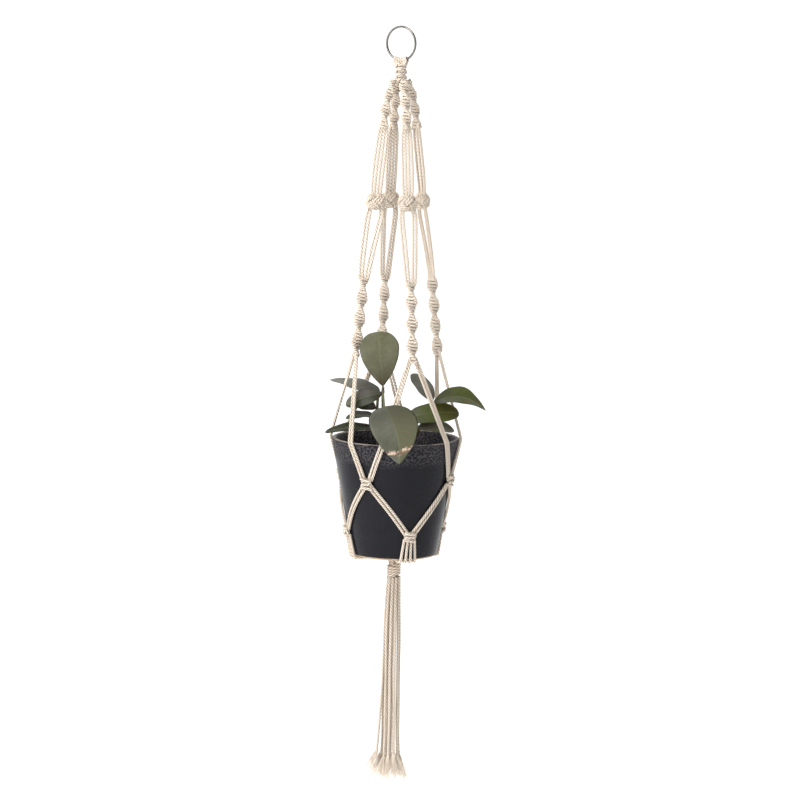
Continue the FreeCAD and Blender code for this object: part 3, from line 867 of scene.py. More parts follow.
@dataclass(frozen=True)
class LeafFinish:
    """A fleshy leaf: two greens, a paler underside, a dark margin, a pale midrib and faint side veins."""

    name: str
    upper: tuple
    clouded: tuple
    under: tuple = (0.15, 0.18, 0.12, 1.0)
    rib: tuple = (0.15, 0.18, 0.08, 1.0)
    margin: tuple = (0.020, 0.024, 0.014, 1.0)
    roughness: float = 0.42
    cloud_rough: float = 0.12
    vein_count: float = 9.0
    vein_sweep: float = 0.16
    vein_share: float = 0.22
    rib_share: float = 0.38
    base_share: float = 0.60
    margin_share: float = 0.85
    second: tuple | None = None
    scar: bool = False
    scar_brown: tuple = (0.20, 0.115, 0.07, 1.0)
    scar_pale: tuple = (0.64, 0.50, 0.40, 1.0)
    scar_ragged: float = 0.08
    scar_slant: float = 0.06
    scar_rough: float = 0.4

    def material(self) -> bpy.types.Material:
        """Build the finish.

        Returns:
            The material.
        """
        s = Shader(self.name)
        cloudy = s.group(Groups.mottle(), Scale=38.0, Fine_Scale=520.0, Fine_Share=0.35).outputs["Mask"]
        along, across, side = s.mask("leaf_along"), s.mask("leaf_across"), s.mask("leaf_side")
        distance = s.math("ABSOLUTE", across)
        colour = s.mix(cloudy, self.upper, self.clouded)
        if self.second:
            colour = s.mix(s.ramp(across, -0.04, 0.04), colour, self.second)
        swept = s.math("SUBTRACT", along, s.times(distance, self.vein_sweep))
        veins = s.math("FRACT", s.times(swept, self.vein_count))
        veins = s.ramp(s.math("ABSOLUTE", s.math("SUBTRACT", veins, 0.5)), 0.44, 0.50)
        colour = s.mix(s.times(veins, self.vein_share), colour, self.rib)
        rib = s.ramp(s.mask("leaf_rib"), 0.25, 0.95)
        colour = s.mix(s.times(rib, self.rib_share), colour, self.rib)
        near_base = s.ramp(along, 0.55, 0.02)
        colour = s.mix(s.times(near_base, self.base_share), colour, self.margin)
        colour = s.mix(s.ramp(side, 0.1, -0.1), colour, s.mix(cloudy, self.under, self.clouded))
        edge = s.ramp(distance, 0.965, 0.995)
        colour = s.mix(s.times(edge, self.margin_share), colour, self.margin)
        rough = s.times(cloudy, self.cloud_rough)
        rough = s.plus(rough, self.roughness - self.cloud_rough / 2)
        if self.scar:
            colour, rough = self.scarred(s, colour, rough, along, distance)
        s.settle(Base_Color=colour, Roughness=rough, Specular_IOR_Level=0.28, Subsurface_Weight=0.04)
        relief = s.plus(s.times(cloudy, 0.4), s.times(veins, -0.35))
        s.bump(relief, strength=0.35, distance=0.35 * MM)
        return s.material

    def scarred(self, s: Shader, colour: Feed, rough: Feed, along: Socket, distance: Socket) -> tuple:
        """A dry brown band with pale patches across the leaf near its tip.

        Args:
            s: The shader.
            colour: The leaf's colour so far.
            rough: The leaf's roughness so far.
            along: Place along the leaf, from 0 to 1.
            distance: Distance to the midrib, from 0 to 1.

        Returns:
            The new colour and roughness.
        """
        ragged = s.group(Groups.mottle(), Scale=170.0, Fine_Scale=700.0, Fine_Share=0.4).outputs["Mask"]
        place = s.plus(along, s.times(s.math("SUBTRACT", ragged, 0.5), self.scar_ragged))
        place = s.plus(place, s.times(distance, self.scar_slant))
        band = s.times(s.ramp(place, 0.795, 0.815), s.ramp(place, 0.905, 0.875))
        patchy = s.times(band, s.ramp(ragged, 0.34, 0.50))
        dry = s.mix(s.ramp(ragged, 0.54, 0.74), self.scar_brown, self.scar_pale)
        rough = s.math("ADD", rough, s.times(patchy, self.scar_rough), clamp=True)
        return s.mix(patchy, colour, dry), rough


# ---------------- pieces: handing them over


def hand_over(piece: bpy.types.Object, body: str, nodes: tuple) -> bpy.types.Object:
    """Let a finished piece ride a body in place of CAD nodes.

    Args:
        piece: The piece.
        body: The body that it rides on.
        nodes: The CAD nodes that it replaces.

    Returns:
        The piece.
    """
    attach(piece, body)
    if nodes:
        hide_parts(*nodes)
    log.info("%s: %d faces, rides %s, replaces %s", piece.name, len(piece.data.polygons), body,
             ", ".join(nodes) or "nothing")
    return piece


def tight_cords(node: str, lines: list, finish: bpy.types.Material, rng: random.Random) -> bpy.types.Object:
    """Make one node's tight cords.

    Args:
        node: The CAD node that they replace.
        lines: Their centre lines.
        finish: Their material.
        rng: Source of their tints and of where their strands start.

    Returns:
        The cords, as one piece.
    """
    batch = MeshBatch()
    for line in lines:
        Cord().sweep(batch, line, rng.random(), rng.uniform(0, math.tau))
    return hand_over(batch.build(node + "_twisted", finish), "hanger", (node,))


@dataclass(frozen=True)
class SteelRing:
    """The ring of bent wire, butted at its top."""

    radius: float = 23 * MM
    wire: float = 1.5 * MM
    turn: float = -32.0
    joint_gap: float = 0.7 * MM
    end_taper: float = 0.30
    end_round: float = 0.5 * MM
    steps: int = 240
    sides: int = 20

    @property
    def middle(self) -> np.ndarray:
        """Middle of the ring."""
        return UP * (self.wire - self.radius)

    @property
    def sideways(self) -> np.ndarray:
        """Level direction in the ring's plane."""
        return polar(1.0, self.turn, 0.0)

    @property
    def normal(self) -> np.ndarray:
        """Direction across the ring's plane."""
        return polar(1.0, self.turn + 90, 0.0)

    def outward(self, angle: np.ndarray | float) -> np.ndarray:
        """Direction from the middle to the wire, at an angle in radians from its lowest point."""
        angle = np.asarray(angle)[..., None]
        return self.sideways * np.sin(angle) - UP * np.cos(angle)

    def build(self, finish: bpy.types.Material) -> bpy.types.Object:
        """Make the ring.

        Args:
            finish: Its material.

        Returns:
            The ring.
        """
        half_gap = self.joint_gap / 2 / self.radius
        angle = np.linspace(-math.pi + half_gap, math.pi - half_gap, self.steps)
        out = self.outward(angle)
        from_end = (math.pi - half_gap - np.abs(angle)) * self.radius
        reach = self.wire * (1 - self.end_taper * np.exp(-(from_end / self.end_round) ** 2))
        around = circle(self.sides)
        rings = (self.middle + out[:, None, :] * self.radius
                 + out[:, None, :] * (reach[:, None] * np.cos(around))[..., None]
                 + self.normal * (reach[:, None] * np.sin(around))[..., None])
        batch = MeshBatch()
        batch.add_tube(rings)
        return hand_over(batch.build("steel_ring", finish), "ring", ("hanging_ring",))


@dataclass(frozen=True)
class RingLoops:
    """The eight cord loops that hang on the ring, and their legs down to the top knot."""

    ring: SteelRing
    cord: Cord = Cord(radius=1.4 * MM, lay_length=11 * MM, step=0.9 * MM)
    count: int = 8
    half_fan: float = 23.5
    clearance: float = 0.3 * MM
    gathered: float = 0.80
    knot_top: float = -48.6 * MM
    tuck: float = 1.5 * MM
    legs_apart: float = 3.0 * MM
    arch_half_turn: int = 130
    arch_step: int = 20
    blend_from: float = -44.5 * MM
    blend_to: float = -50.5 * MM

    def loop_line(self, angle: float) -> np.ndarray:
        """Line of one loop: up from the knot, over the wire and down into the knot.

        Args:
            angle: Where on the ring it hangs, in radians from the ring's lowest point.

        Returns:
            Points of its line.
        """
        out = self.ring.outward(angle)
        centre = self.ring.middle + out * self.ring.radius
        reach = self.ring.wire + self.clearance + self.cord.radius
        turn = np.radians(np.arange(-self.arch_half_turn, self.arch_half_turn + 1, self.arch_step))
        arch = [centre + reach * (self.ring.normal * math.sin(a) - out * math.cos(a)) for a in turn]
        drawn_in = self.ring.sideways * ((centre @ self.ring.sideways) * self.gathered)
        foot = drawn_in + UP * (self.knot_top - self.tuck)
        apart = self.ring.normal * self.legs_apart
        return route_line([foot - apart, *arch, foot + apart])

    def build(self, finish: bpy.types.Material, rng: random.Random) -> bpy.types.Object:
        """Make the loops.

        Args:
            finish: Its material.
            rng: Source of its tints and unevenness.

        Returns:
            The loops, as one piece.
        """
        batch = MeshBatch()
        for angle in np.radians(np.linspace(-self.half_fan, self.half_fan, self.count)):
            self.cord.sweep(batch, self.loop_line(angle), rng.random(), rng.uniform(0, math.tau))
        piece = batch.build("ring_loop_cords", finish)
        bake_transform(piece)
        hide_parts("ring_loops")
        log.info("%s: %d loops", piece.name, self.count)
        return piece


# ---------------- the hanger above the pot


@dataclass(frozen=True)
class SpiralShape:
    """Sizes of a half-knot spiral round its three core cords. A knot's turn is in degrees."""

    knots: int
    half_width: float
    half_depth: float
    knot_turn: float
    sag: float
    first_width: float
    core_apart: float
    bow: float = 0.0
    core_radius: float = 1.25 * MM
    cord: Cord = Cord(radius=1.9 * MM, lay_length=12 * MM, step=1.0 * MM)

    def sinnet(self, top: np.ndarray, bottom: np.ndarray, across: np.ndarray) -> Sinnet:
        """The spiral's knots between two points, with their first knot across a direction.

        Args:
            top: Its upper end.
            bottom: Its lower end.
            across: Direction that its first knot spans.

        Returns:
            The row of knots, not yet made.
        """
        core = tuple((offset, 0.0) for offset in (-self.core_apart, 0.0, self.core_apart))
        return Sinnet(top, bottom, across, self.knots, self.half_width, self.half_depth, self.cord, core,
                      self.core_radius, self.sag, turn=self.knot_turn, first_width=self.first_width,
                      bow=self.bow)


@dataclass(frozen=True)
class Arm:
    """One of the hanger's four arms, as far as its rim cords.

    Ends are a radius from the hanging line and a height, and spreads are shares of the cords' full row.
    """

    name: str
    azimuth: float
    row_azimuth: float
    drop: float
    stagger: float
    upper: SpiralShape = SpiralShape(knots=15, half_width=5.9 * MM, half_depth=2.5 * MM, knot_turn=35.7,
                                     sag=0.9 * MM, first_width=0.6, core_apart=2.1 * MM, bow=2.8 * MM)
    lower: SpiralShape = SpiralShape(knots=24, half_width=6.8 * MM, half_depth=2.2 * MM, knot_turn=28.2,
                                     sag=1.2 * MM, first_width=1.1, core_apart=2.2 * MM)
    upper_start: tuple = (10.5 * MM, -71.4 * MM)
    upper_end: tuple = (24.4 * MM, -137.0 * MM)
    lower_start: tuple = (49.8 * MM, -343.5 * MM)
    lower_end: tuple = (61.0 * MM, -453.0 * MM)
    row_pitch: float = 4.7 * MM
    pair_reach: float = 10.0 * MM
    upper_spreads: tuple = (0.45, 0.72, 0.96, 1.0, 0.8)
    upper_opened: float = 0.15
    middle_spreads: tuple = (0.62, 0.96, 1.0, 0.8)
    middle_closing: float = 0.45
    in_upper_spiral: float = 7.0 * MM
    in_lower_spiral: float = 3.0 * MM
    knot_lead: float = 20.0 * MM
    knot_foot_lead: float = 12.0 * MM
    spiral_lead: float = 6.0 * MM
    in_knot_top: float = 6.0 * MM
    in_knot_foot: float = 4.0 * MM

    @property
    def row(self) -> np.ndarray:
        """Level direction in which the arm's cords lie side by side."""
        return polar(1.0, self.row_azimuth, 0.0)

    @property
    def close_row(self) -> list:
        """Reaches of the four cords that lie side by side."""
        return [self.row_pitch * (k - ROW_MIDDLE) for k in range(ARM_CORDS)]

    @property
    def spread_row(self) -> list:
        """Reaches of the two pairs of cords below the crown knot."""
        half = self.row_pitch / 2
        return [side * self.pair_reach + step for side in (-1, 1) for step in (-half, half)]

    @property
    def upper_bottom(self) -> np.ndarray:
        """Lower end of the upper spiral."""
        return polar(self.upper_end[0], self.azimuth, self.upper_end[1])

    @property
    def lower_top(self) -> np.ndarray:
        """Upper end of the lower spiral."""
        return polar(self.lower_start[0], self.azimuth, self.lower_start[1] - self.drop)

    @property
    def lower_bottom(self) -> np.ndarray:
        """Lower end of the lower spiral."""
        return polar(self.lower_end[0], self.azimuth, self.lower_end[1] - self.drop)

    def upper_spiral(self, finish: bpy.types.Material, rng: random.Random) -> bpy.types.Object:
        """Make the upper half-knot spiral.

        Args:
            finish: Its material.
            rng: Source of its tints and unevenness.

        Returns:
            The spiral.
        """
        name = "upper_spiral_" + self.name
        top = polar(self.upper_start[0], self.azimuth, self.upper_start[1])
        spiral = self.upper.sinnet(top, self.upper_bottom, polar(1.0, self.azimuth, 0.0))
        return hand_over(spiral.build(name + "_knots", finish, rng), "hanger", (name,))

    def lower_spiral(self, finish: bpy.types.Material, rng: random.Random) -> bpy.types.Object:
        """Make the lower half-knot spiral, whose first knot spans the row of cords."""
        name = "lower_spiral_" + self.name
        spiral = self.lower.sinnet(self.lower_top, self.lower_bottom, self.row)
        return hand_over(spiral.build(name + "_knots", finish, rng), "hanger", (name,))

    def upper_lines(self) -> list:
        """Lines of the four cords from the upper spiral to the crown knot.

        Returns:
            Points of each line.
        """
        knot = middle("crown_knot_" + self.name)
        aside = np.cross(UP, self.row) * self.stagger
        opened = self.upper_bottom * (1 - self.upper_opened) + knot * self.upper_opened
        lines = []
        for k, full in enumerate(self.close_row):
            reaches = [self.row * full * share for share in self.upper_spreads]
            off = aside * (1 - 2 * (k % 2))
            lines.append(route_line([
                self.upper_bottom + reaches[0] + UP * self.in_upper_spiral,
                self.upper_bottom + reaches[1] + off,
                opened + reaches[2] + off,
                knot + reaches[3] + UP * self.knot_lead + off,
                knot + reaches[4] + UP * self.in_knot_top,
            ]))
        return lines

    def middle_lines(self) -> list:
        """Lines of the four cords from the crown knot to the lower spiral.

        Returns:
            Points of each line.
        """
        knot = middle("crown_knot_" + self.name)
        passed = self.middle_closing
        between = knot * (1 - passed) + self.lower_top * passed
        inside, below, above, tucked = self.middle_spreads
        lines = []
        for out, back in zip(self.spread_row, self.close_row):
            lines.append(route_line([
                knot + self.row * out * inside + DOWN * self.in_knot_foot,
                knot + self.row * out * below + DOWN * self.knot_foot_lead,
                between + self.row * (out * (1 - passed) + back * passed),
                self.lower_top + self.row * back * above + UP * self.spiral_lead,
                self.lower_top + self.row * back * tucked + DOWN * self.in_lower_spiral,
            ]))
        return lines


@dataclass(frozen=True)
class CrownKnot:
    """A round knot: a three-lead plait of trebled cord that closes round an egg. Latitudes are in radians."""

    name: str
    row_azimuth: float
    across: float = 11.4 * MM
    depth: float = 7.4 * MM
    height: float = 8.8 * MM
    cord: Cord = Cord(radius=1.75 * MM, lay_length=12 * MM, step=1.1 * MM)
    leads: int = 3
    bights: int = 4
    reach_up: float = 1.05
    weave: float = 1.9 * MM
    wander: float = 0.06
    cords_apart: float = 1.94
    samples: int = 420
    heart_inset: float = 1.2 * MM
    heart_shade: float = 0.9
    heart_top: float = 1.5
    heart_rings: int = 17
    heart_sides: int = 24

    def surface(self, longitude: np.ndarray, latitude: np.ndarray, proud: np.ndarray | float) -> np.ndarray:
        """Points over the egg, in the knot's own directions.

        Args:
            longitude: Longitude of each point, in radians.
            latitude: Latitude of each point, in radians.
            proud: How far the points stand out of the egg.

        Returns:
            The points.
        """
        return np.stack([
            (self.across + proud) * np.cos(latitude) * np.cos(longitude),
            (self.depth + proud) * np.cos(latitude) * np.sin(longitude),
            (self.height + proud) * np.sin(latitude),
        ], axis=1)

    def build(self, finish: bpy.types.Material, rng: random.Random) -> bpy.types.Object:
        """Make the knot.

        Args:
            finish: Its material.
            rng: Source of its tints and unevenness.

        Returns:
            The knot.
        """
        centre = middle(self.name)
        row = polar(1.0, self.row_azimuth, 0.0)
        turn = np.stack([row, np.cross(UP, row), UP])
        start = rng.uniform(0, math.tau)
        travel = np.linspace(0.0, math.tau, self.samples)
        phase = self.bights * travel
        longitude = self.leads * travel + start + self.wander * np.sin(2 * travel + start)
        latitude = self.reach_up * np.sin(phase)
        base = self.surface(longitude, latitude, self.weave * np.sin(2 * phase))
        inner = self.surface(longitude, latitude, 0.0)
        along = np.gradient(base, axis=0)
        along /= np.linalg.norm(along, axis=1)[:, None]
        sideways = np.cross(inner / np.array((self.across, self.depth, self.height)) ** 2, along)
        sideways /= np.linalg.norm(sideways, axis=1)[:, None]
        batch = MeshBatch()
        for side in (-self.cords_apart, 0.0, self.cords_apart):
            line = centre + (base + sideways * side * self.cord.radius) @ turn
            self.cord.sweep(batch, line, rng.random(), rng.uniform(0, math.tau))
        self.add_heart(batch, centre, turn)
        return hand_over(batch.build(self.name + "_plait", finish), "hanger", (self.name,))

    def add_heart(self, batch: MeshBatch, centre: np.ndarray, turn: np.ndarray) -> None:
        """Add the cords' hidden bundle inside the plait, as an egg with painted shade all over.

        Args:
            batch: The batch that takes its faces.
            centre: Middle of the knot.
            turn: The knot's own directions, as rows.
        """
        longitude = circle(self.heart_sides)
        grid = np.array([self.surface(longitude, np.full_like(longitude, latitude), -self.heart_inset)
                         for latitude in np.linspace(-self.heart_top, self.heart_top, self.heart_rings)])
        # The heart shows only in the gaps of the plait, so it is darkened with painted shade.
        batch.add_tube(centre + grid @ turn, self.heart_shade)


@dataclass(frozen=True)
class TopKnot:
    """The column of square knots under the ring."""

    knots: int = 6
    row_azimuth: float = 35.0
    half_width: float = 6.6 * MM
    half_depth: float = 5.6 * MM
    rise: float = 1.8 * MM
    sag: float = 0.3 * MM
    core_across: tuple = (-4.2 * MM, 0.0, 4.2 * MM)
    core_outward: tuple = (-2.2 * MM, 2.2 * MM)
    core_radius: float = 2.0 * MM
    cord: Cord = Cord(radius=1.9 * MM)

    def build(self, finish: bpy.types.Material, rng: random.Random) -> bpy.types.Object:
        """Make the column.

        Args:
            finish: Its material.
            rng: Source of its tints and unevenness.

        Returns:
            The column.
        """
        low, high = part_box("top_knot")
        core = tuple((across, outward) for across in self.core_across for outward in self.core_outward)
        top, bottom = UP * (high[2] + self.rise), UP * low[2]
        column = Sinnet(top, bottom, polar(1.0, self.row_azimuth, 0.0), self.knots, self.half_width,
                        self.half_depth, self.cord, core, self.core_radius, self.sag, style=KnotStyle.SQUARE)
        return hand_over(column.build("top_knot_cords", finish, rng), "hanger", ("top_knot",))


@dataclass
class UpperHanger:
    """Everything of the hanger above the pot: top knot, spirals, cords and crown knots."""

    finish: bpy.types.Material
    rng: random.Random
    arms: tuple

    def build(self) -> None:
        """Make all its pieces."""
        TopKnot().build(self.finish, self.rng)
        for arm in self.arms:
            arm.upper_spiral(self.finish, self.rng)
            CrownKnot("crown_knot_" + arm.name, arm.row_azimuth).build(self.finish, self.rng)
            arm.lower_spiral(self.finish, self.rng)
        upper = [line for arm in self.arms for line in arm.upper_lines()]
        lower = [line for arm in self.arms for line in arm.middle_lines()]
        tight_cords("upper_cords", upper, self.finish, self.rng)
        tight_cords("middle_cords", lower, self.finish, self.rng)


# ---------------- the sling round the pot


@dataclass(frozen=True)
class PotKnot:
    """Sizes of a square knot that lies on the pot."""

    knots: int = 3
    half_width: float = 6.9 * MM
    half_depth: float = 2.7 * MM
    depth: float = 9.0 * MM
    beyond: float = 0.3 * MM
    sag: float = 0.4 * MM
    core_across: tuple = (-4.4 * MM, -1.5 * MM, 1.5 * MM, 4.4 * MM)
    core_radius: float = 1.5 * MM
    cord: Cord = Cord(radius=2.05 * MM)


@dataclass
class Sling:
    """The knots and cords that hold the pot, from the arms to the gathering under it."""

    finish: bpy.types.Material
    rng: random.Random
    arms: dict
    square: PotKnot = PotKnot()
    proud: float = 2.8 * MM
    pot_gap: float = 0.4 * MM
    tuck: float = 3.0 * MM
    rim_share: float = 0.72
    in_arm: float = 5.0 * MM
    in_arm_closing: float = 0.45
    rim_lead: float = 7.0 * MM
    foot_lead: float = 5.0 * MM
    net_runs: int = 4
    foot_spread: float = 1.45
    under_fan: float = 22.5
    hand_off_radius: float = 14.0 * MM

    def __post_init__(self) -> None:
        """Read the pot's sizes from the CAD."""
        low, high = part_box("pot")
        self.foot, self.rim, self.rim_radius = low[2], high[2], high[0]
        self.slope = math.atan2(POT_TAPER, self.rim - self.foot)
        self.reaches = next(iter(self.arms.values())).close_row

    def on_pot(self, azimuth: float, height: float, proud: float, reach: float = 0.0) -> np.ndarray:
        """A point that stands proud of the pot's side, moved level round the pot by a reach."""
        radius = self.rim_radius + (height - self.rim) * math.tan(self.slope)
        return polar(radius + proud / math.cos(self.slope), azimuth + math.degrees(reach / radius), height)

    def knot(self, node: str) -> bpy.types.Object:
        """Make one square knot on the pot.

        Args:
            node: The CAD node that it replaces.

        Returns:
            The knot.
        """
        low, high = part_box(node)
        place, shape = middle(node), self.square
        azimuth, half = azimuth_of(place), (high[2] - low[2]) / 2 + shape.beyond
        proud = self.pot_gap + shape.depth / 2
        top, bottom = (self.on_pot(azimuth, place[2] + rise, proud) for rise in (half, -half))
        core = tuple((across, 0.0) for across in shape.core_across)
        row = Sinnet(top, bottom, polar(1.0, azimuth + 90, 0.0), shape.knots, shape.half_width,
                     shape.half_depth, shape.cord, core, shape.core_radius, shape.sag, style=KnotStyle.SQUARE)
        return hand_over(row.build(node + "_knots", self.finish, self.rng), "hanger", (node,))

    def rim_lines(self) -> list:
        """Lines of the cords from the arms over the rim to the side knots.

        Returns:
            Points of each line.
        """
        lines = []
        for name, neighbours in SIDE_NEIGHBOURS.items():
            node = "side_knot_" + name
            azimuth, bottom = azimuth_of(middle(node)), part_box(node)[1][2] - self.tuck
            for arm_name, starts, ends in ((neighbours[0], self.reaches[2:], self.reaches[:2]),
                                           (neighbours[1], self.reaches[:2], self.reaches[2:])):
                arm = self.arms[arm_name]
                turn = turn_between(arm.azimuth, azimuth)
                over = arm.azimuth + self.rim_share * turn
                low = arm.azimuth + (1 + self.rim_share) / 2 * turn
                aside = polar(1.0, arm.azimuth + 90, 0.0)
                for start, end in zip(starts, ends):
                    leave = arm.lower_bottom + UP * self.tuck + aside * start
                    rim = self.on_pot(over, self.rim, self.proud, end)
                    below = self.on_pot(low, (bottom + self.rim) / 2, self.proud, end)
                    last = self.on_pot(azimuth, bottom, self.proud, end)
                    lines.append(route_line([
                        leave + UP * self.in_arm - aside * start * self.in_arm_closing,
                        leave,
                        rim + unit(leave - rim) * self.rim_lead,
                        rim,
                        rim + unit(below - rim) * self.rim_lead,
                        below,
                        last,
                    ]))
        return lines

    def net_lines(self) -> list:
        """Lines of the cords from the side knots to the base knots.

        Returns:
            Points of each line.
        """
        pair = self.reaches[3] - self.reaches[1]
        half_pitch = (self.reaches[1] - self.reaches[0]) / 2
        lines = []
        for name, neighbours in BASE_NEIGHBOURS.items():
            azimuth = azimuth_of(middle("base_knot_" + name))
            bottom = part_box("base_knot_" + name)[1][2] - self.tuck
            for knot, way in zip(neighbours, (1, -1)):
                start = azimuth_of(middle("side_knot_" + knot))
                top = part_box("side_knot_" + knot)[0][2] + self.tuck
                turn = turn_between(start, azimuth)
                radius = self.on_pot(0, (top + bottom) / 2, self.proud)[0]
                lean = math.atan2(math.radians(abs(turn)) * radius - pair, top - bottom)
                for offset in (-half_pitch, half_pitch):
                    route = []
                    for k in range(self.net_runs + 1):
                        share = k / self.net_runs
                        height = top + (bottom - top) * share + offset * math.sin(lean)
                        reach = way * (pair / 2 * (1 - 2 * share) + offset * math.cos(lean))
                        route.append(self.on_pot(start + turn * share, height, self.proud, reach))
                    lines.append(route_line(route))
        return lines

    def base_lines(self) -> list:
        """Lines of the cords from the base knots round the foot and in under the pot.

        Returns:
            Azimuth at which each line ends, and its points.
        """
        under = self.foot - self.pot_gap - Cord.radius
        lines = []
        for name in BASE_NEIGHBOURS:
            node = "base_knot_" + name
            azimuth, top = azimuth_of(middle(node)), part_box(node)[0][2] + self.tuck
            for k, reach in enumerate(self.reaches):
                start = self.on_pot(azimuth, top, self.proud, reach)
                corner = self.on_pot(azimuth, under, self.proud, reach * self.foot_spread)
                inward = azimuth + self.under_fan * (k - ROW_MIDDLE)
                end = polar(self.hand_off_radius, inward, under)
                lines.append((inward, route_line([
                    start,
                    corner + unit(start - corner) * self.foot_lead,
                    corner,
                    corner + unit(end - corner) * self.foot_lead,
                    end,
                ])))
        return lines

    def build(self) -> list:
        """Make all its pieces.

        Returns:
            Azimuth at which each of the sixteen cords arrives under the pot.
        """
        for name in SIDE_NEIGHBOURS:
            self.knot("side_knot_" + name)
        for name in BASE_NEIGHBOURS:
            self.knot("base_knot_" + name)
        base = self.base_lines()
        tight_cords("rim_cords", self.rim_lines(), self.finish, self.rng)
        tight_cords("net_cords", self.net_lines(), self.finish, self.rng)
        tight_cords("base_cords", [line for _, line in base], self.finish, self.rng)
        return [azimuth for azimuth, _ in base]


# ---------------- gathering, wrap and tassel


@dataclass
class Gathering:
    """The sixteen cords' short way from under the pot into the wrap, with each third cord further in."""

    finish: bpy.types.Material
    rng: random.Random
    azimuths: list
    start_radius: float = Sling.hand_off_radius
    start_height: float = -732.1 * MM
    split: float = -737.0 * MM
    blend_top: float = -732.6 * MM
    blend_bottom: float = -742.5 * MM
    level_share: float = 0.80
    level_drop: float = 0.2 * MM
    bend_drop: float = 2.6 * MM
    neck_drop: float = 1.0 * MM
    in_wrap: float = 3.0 * MM
    inner_radii: tuple = (5.0 * MM, 3.6 * MM, 2.2 * MM)
    outer_radii: tuple = (8.0 * MM, 6.6 * MM, 5.2 * MM)
    top_taper: tuple = (1.0, 1.0, 0.95)
    neck_taper: tuple = (0.95, 0.88)
    fine_step: float = 0.25 * MM
    cord: Cord = Cord(step=1.0 * MM)

    def cord_lines(self) -> list:
        """Lines of the sixteen cords, from the edge of the gathering to the inside of the wrap.

        Returns:
            Points of each line.
        """
        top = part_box("gathering_wrap")[1][2]
        lines = []
        for k, azimuth in enumerate(self.azimuths):
            bend, neck, inside = self.inner_radii if k % 3 == 1 else self.outer_radii
            lines.append(route_line([
                polar(self.start_radius, azimuth, self.start_height),
                polar(self.level_share * self.start_radius, azimuth, self.start_height - self.level_drop),
                polar(bend, azimuth, self.start_height - self.bend_drop),
                polar(neck, azimuth, self.split - self.neck_drop),
                polar(inside, azimuth, top - self.in_wrap),
            ]))
        return lines

    def build(self) -> None:
        """Make the gathered cords, as two pieces that meet between the two swings."""
        upper, lower = MeshBatch(), MeshBatch()
        for line in self.cord_lines():
            dense = resample(line, self.fine_step)
            cut = int(np.argmax(dense[:, 2] <= self.split))
            tint, spin = self.rng.random(), self.rng.uniform(0, math.tau)
            carried = spin - cut * self.fine_step * math.tau / self.cord.lay_length
            self.cord.sweep(upper, dense[:cut + 1], tint, spin, self.top_taper)
            self.cord.sweep(lower, dense[cut:], tint, carried, self.neck_taper)
        piece = upper.build("gathered_cords_top", self.finish)
        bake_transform(piece)
        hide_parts("cord_gather")
        piece = lower.build("gathered_cords_neck", self.finish)
        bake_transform(piece)
        log.info("gathering of %d cords", len(self.azimuths))


@dataclass(frozen=True)
class Wrap:
    """The tight roll of cord round the gathered cords, and their bundle inside it.

    The roll's missing turn and the run of its ends are in turns.
    """

    turns: int = 5
    cord: Cord = Cord(radius=2.05 * MM, valley=0.8, step=1.0 * MM)
    inset: float = 1.95 * MM
    missing_turn: float = 0.98
    steps_per_turn: int = 72
    end_run: float = 0.12
    end_dive: float = 2.6 * MM
    tint: float = 0.3
    bundle_radius: float = 6.6 * MM
    bundle_ridge: float = 0.35 * MM
    bundle_ridges: int = 11
    bundle_shade: float = 0.8
    bundle_sides: int = 28
    bundle_rings: int = 8
    below_top: float = 0.6 * MM
    above_foot: float = 0.1 * MM

    def build(self, finish: bpy.types.Material) -> bpy.types.Object:
        """Make the roll and the bundle.

        Args:
            finish: Its material.

        Returns:
            The wrap.
        """
        low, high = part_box("gathering_wrap")
        batch = MeshBatch()
        turn = np.linspace(0, self.turns - self.missing_turn, self.steps_per_turn * self.turns)
        edge = np.clip(np.minimum(turn, turn[-1] - turn) / self.end_run, 0, 1)
        reach = high[0] - self.inset - self.end_dive * (1 - edge ** 0.5)
        height = high[2] - (high[2] - low[2]) / self.turns * (0.5 + turn)
        self.cord.sweep(batch, round_axis(reach, -math.pi / 2 + turn * math.tau, height), self.tint, 0.0)
        around = circle(self.bundle_sides)
        bundle = self.bundle_radius + self.bundle_ridge * np.cos(around * self.bundle_ridges)
        heights = np.linspace(high[2] - self.below_top, low[2] + self.above_foot, self.bundle_rings)
        rings = np.array([round_axis(bundle, around, height) for height in heights])
        # The bundle shows only inside the roll, so it is darkened with painted shade.
        batch.add_tube(rings[:, ::-1], self.bundle_shade)
        piece = batch.build("gathering_wrap_cord", finish)
        return hand_over(piece, "tassel", ("gathering_wrap",))


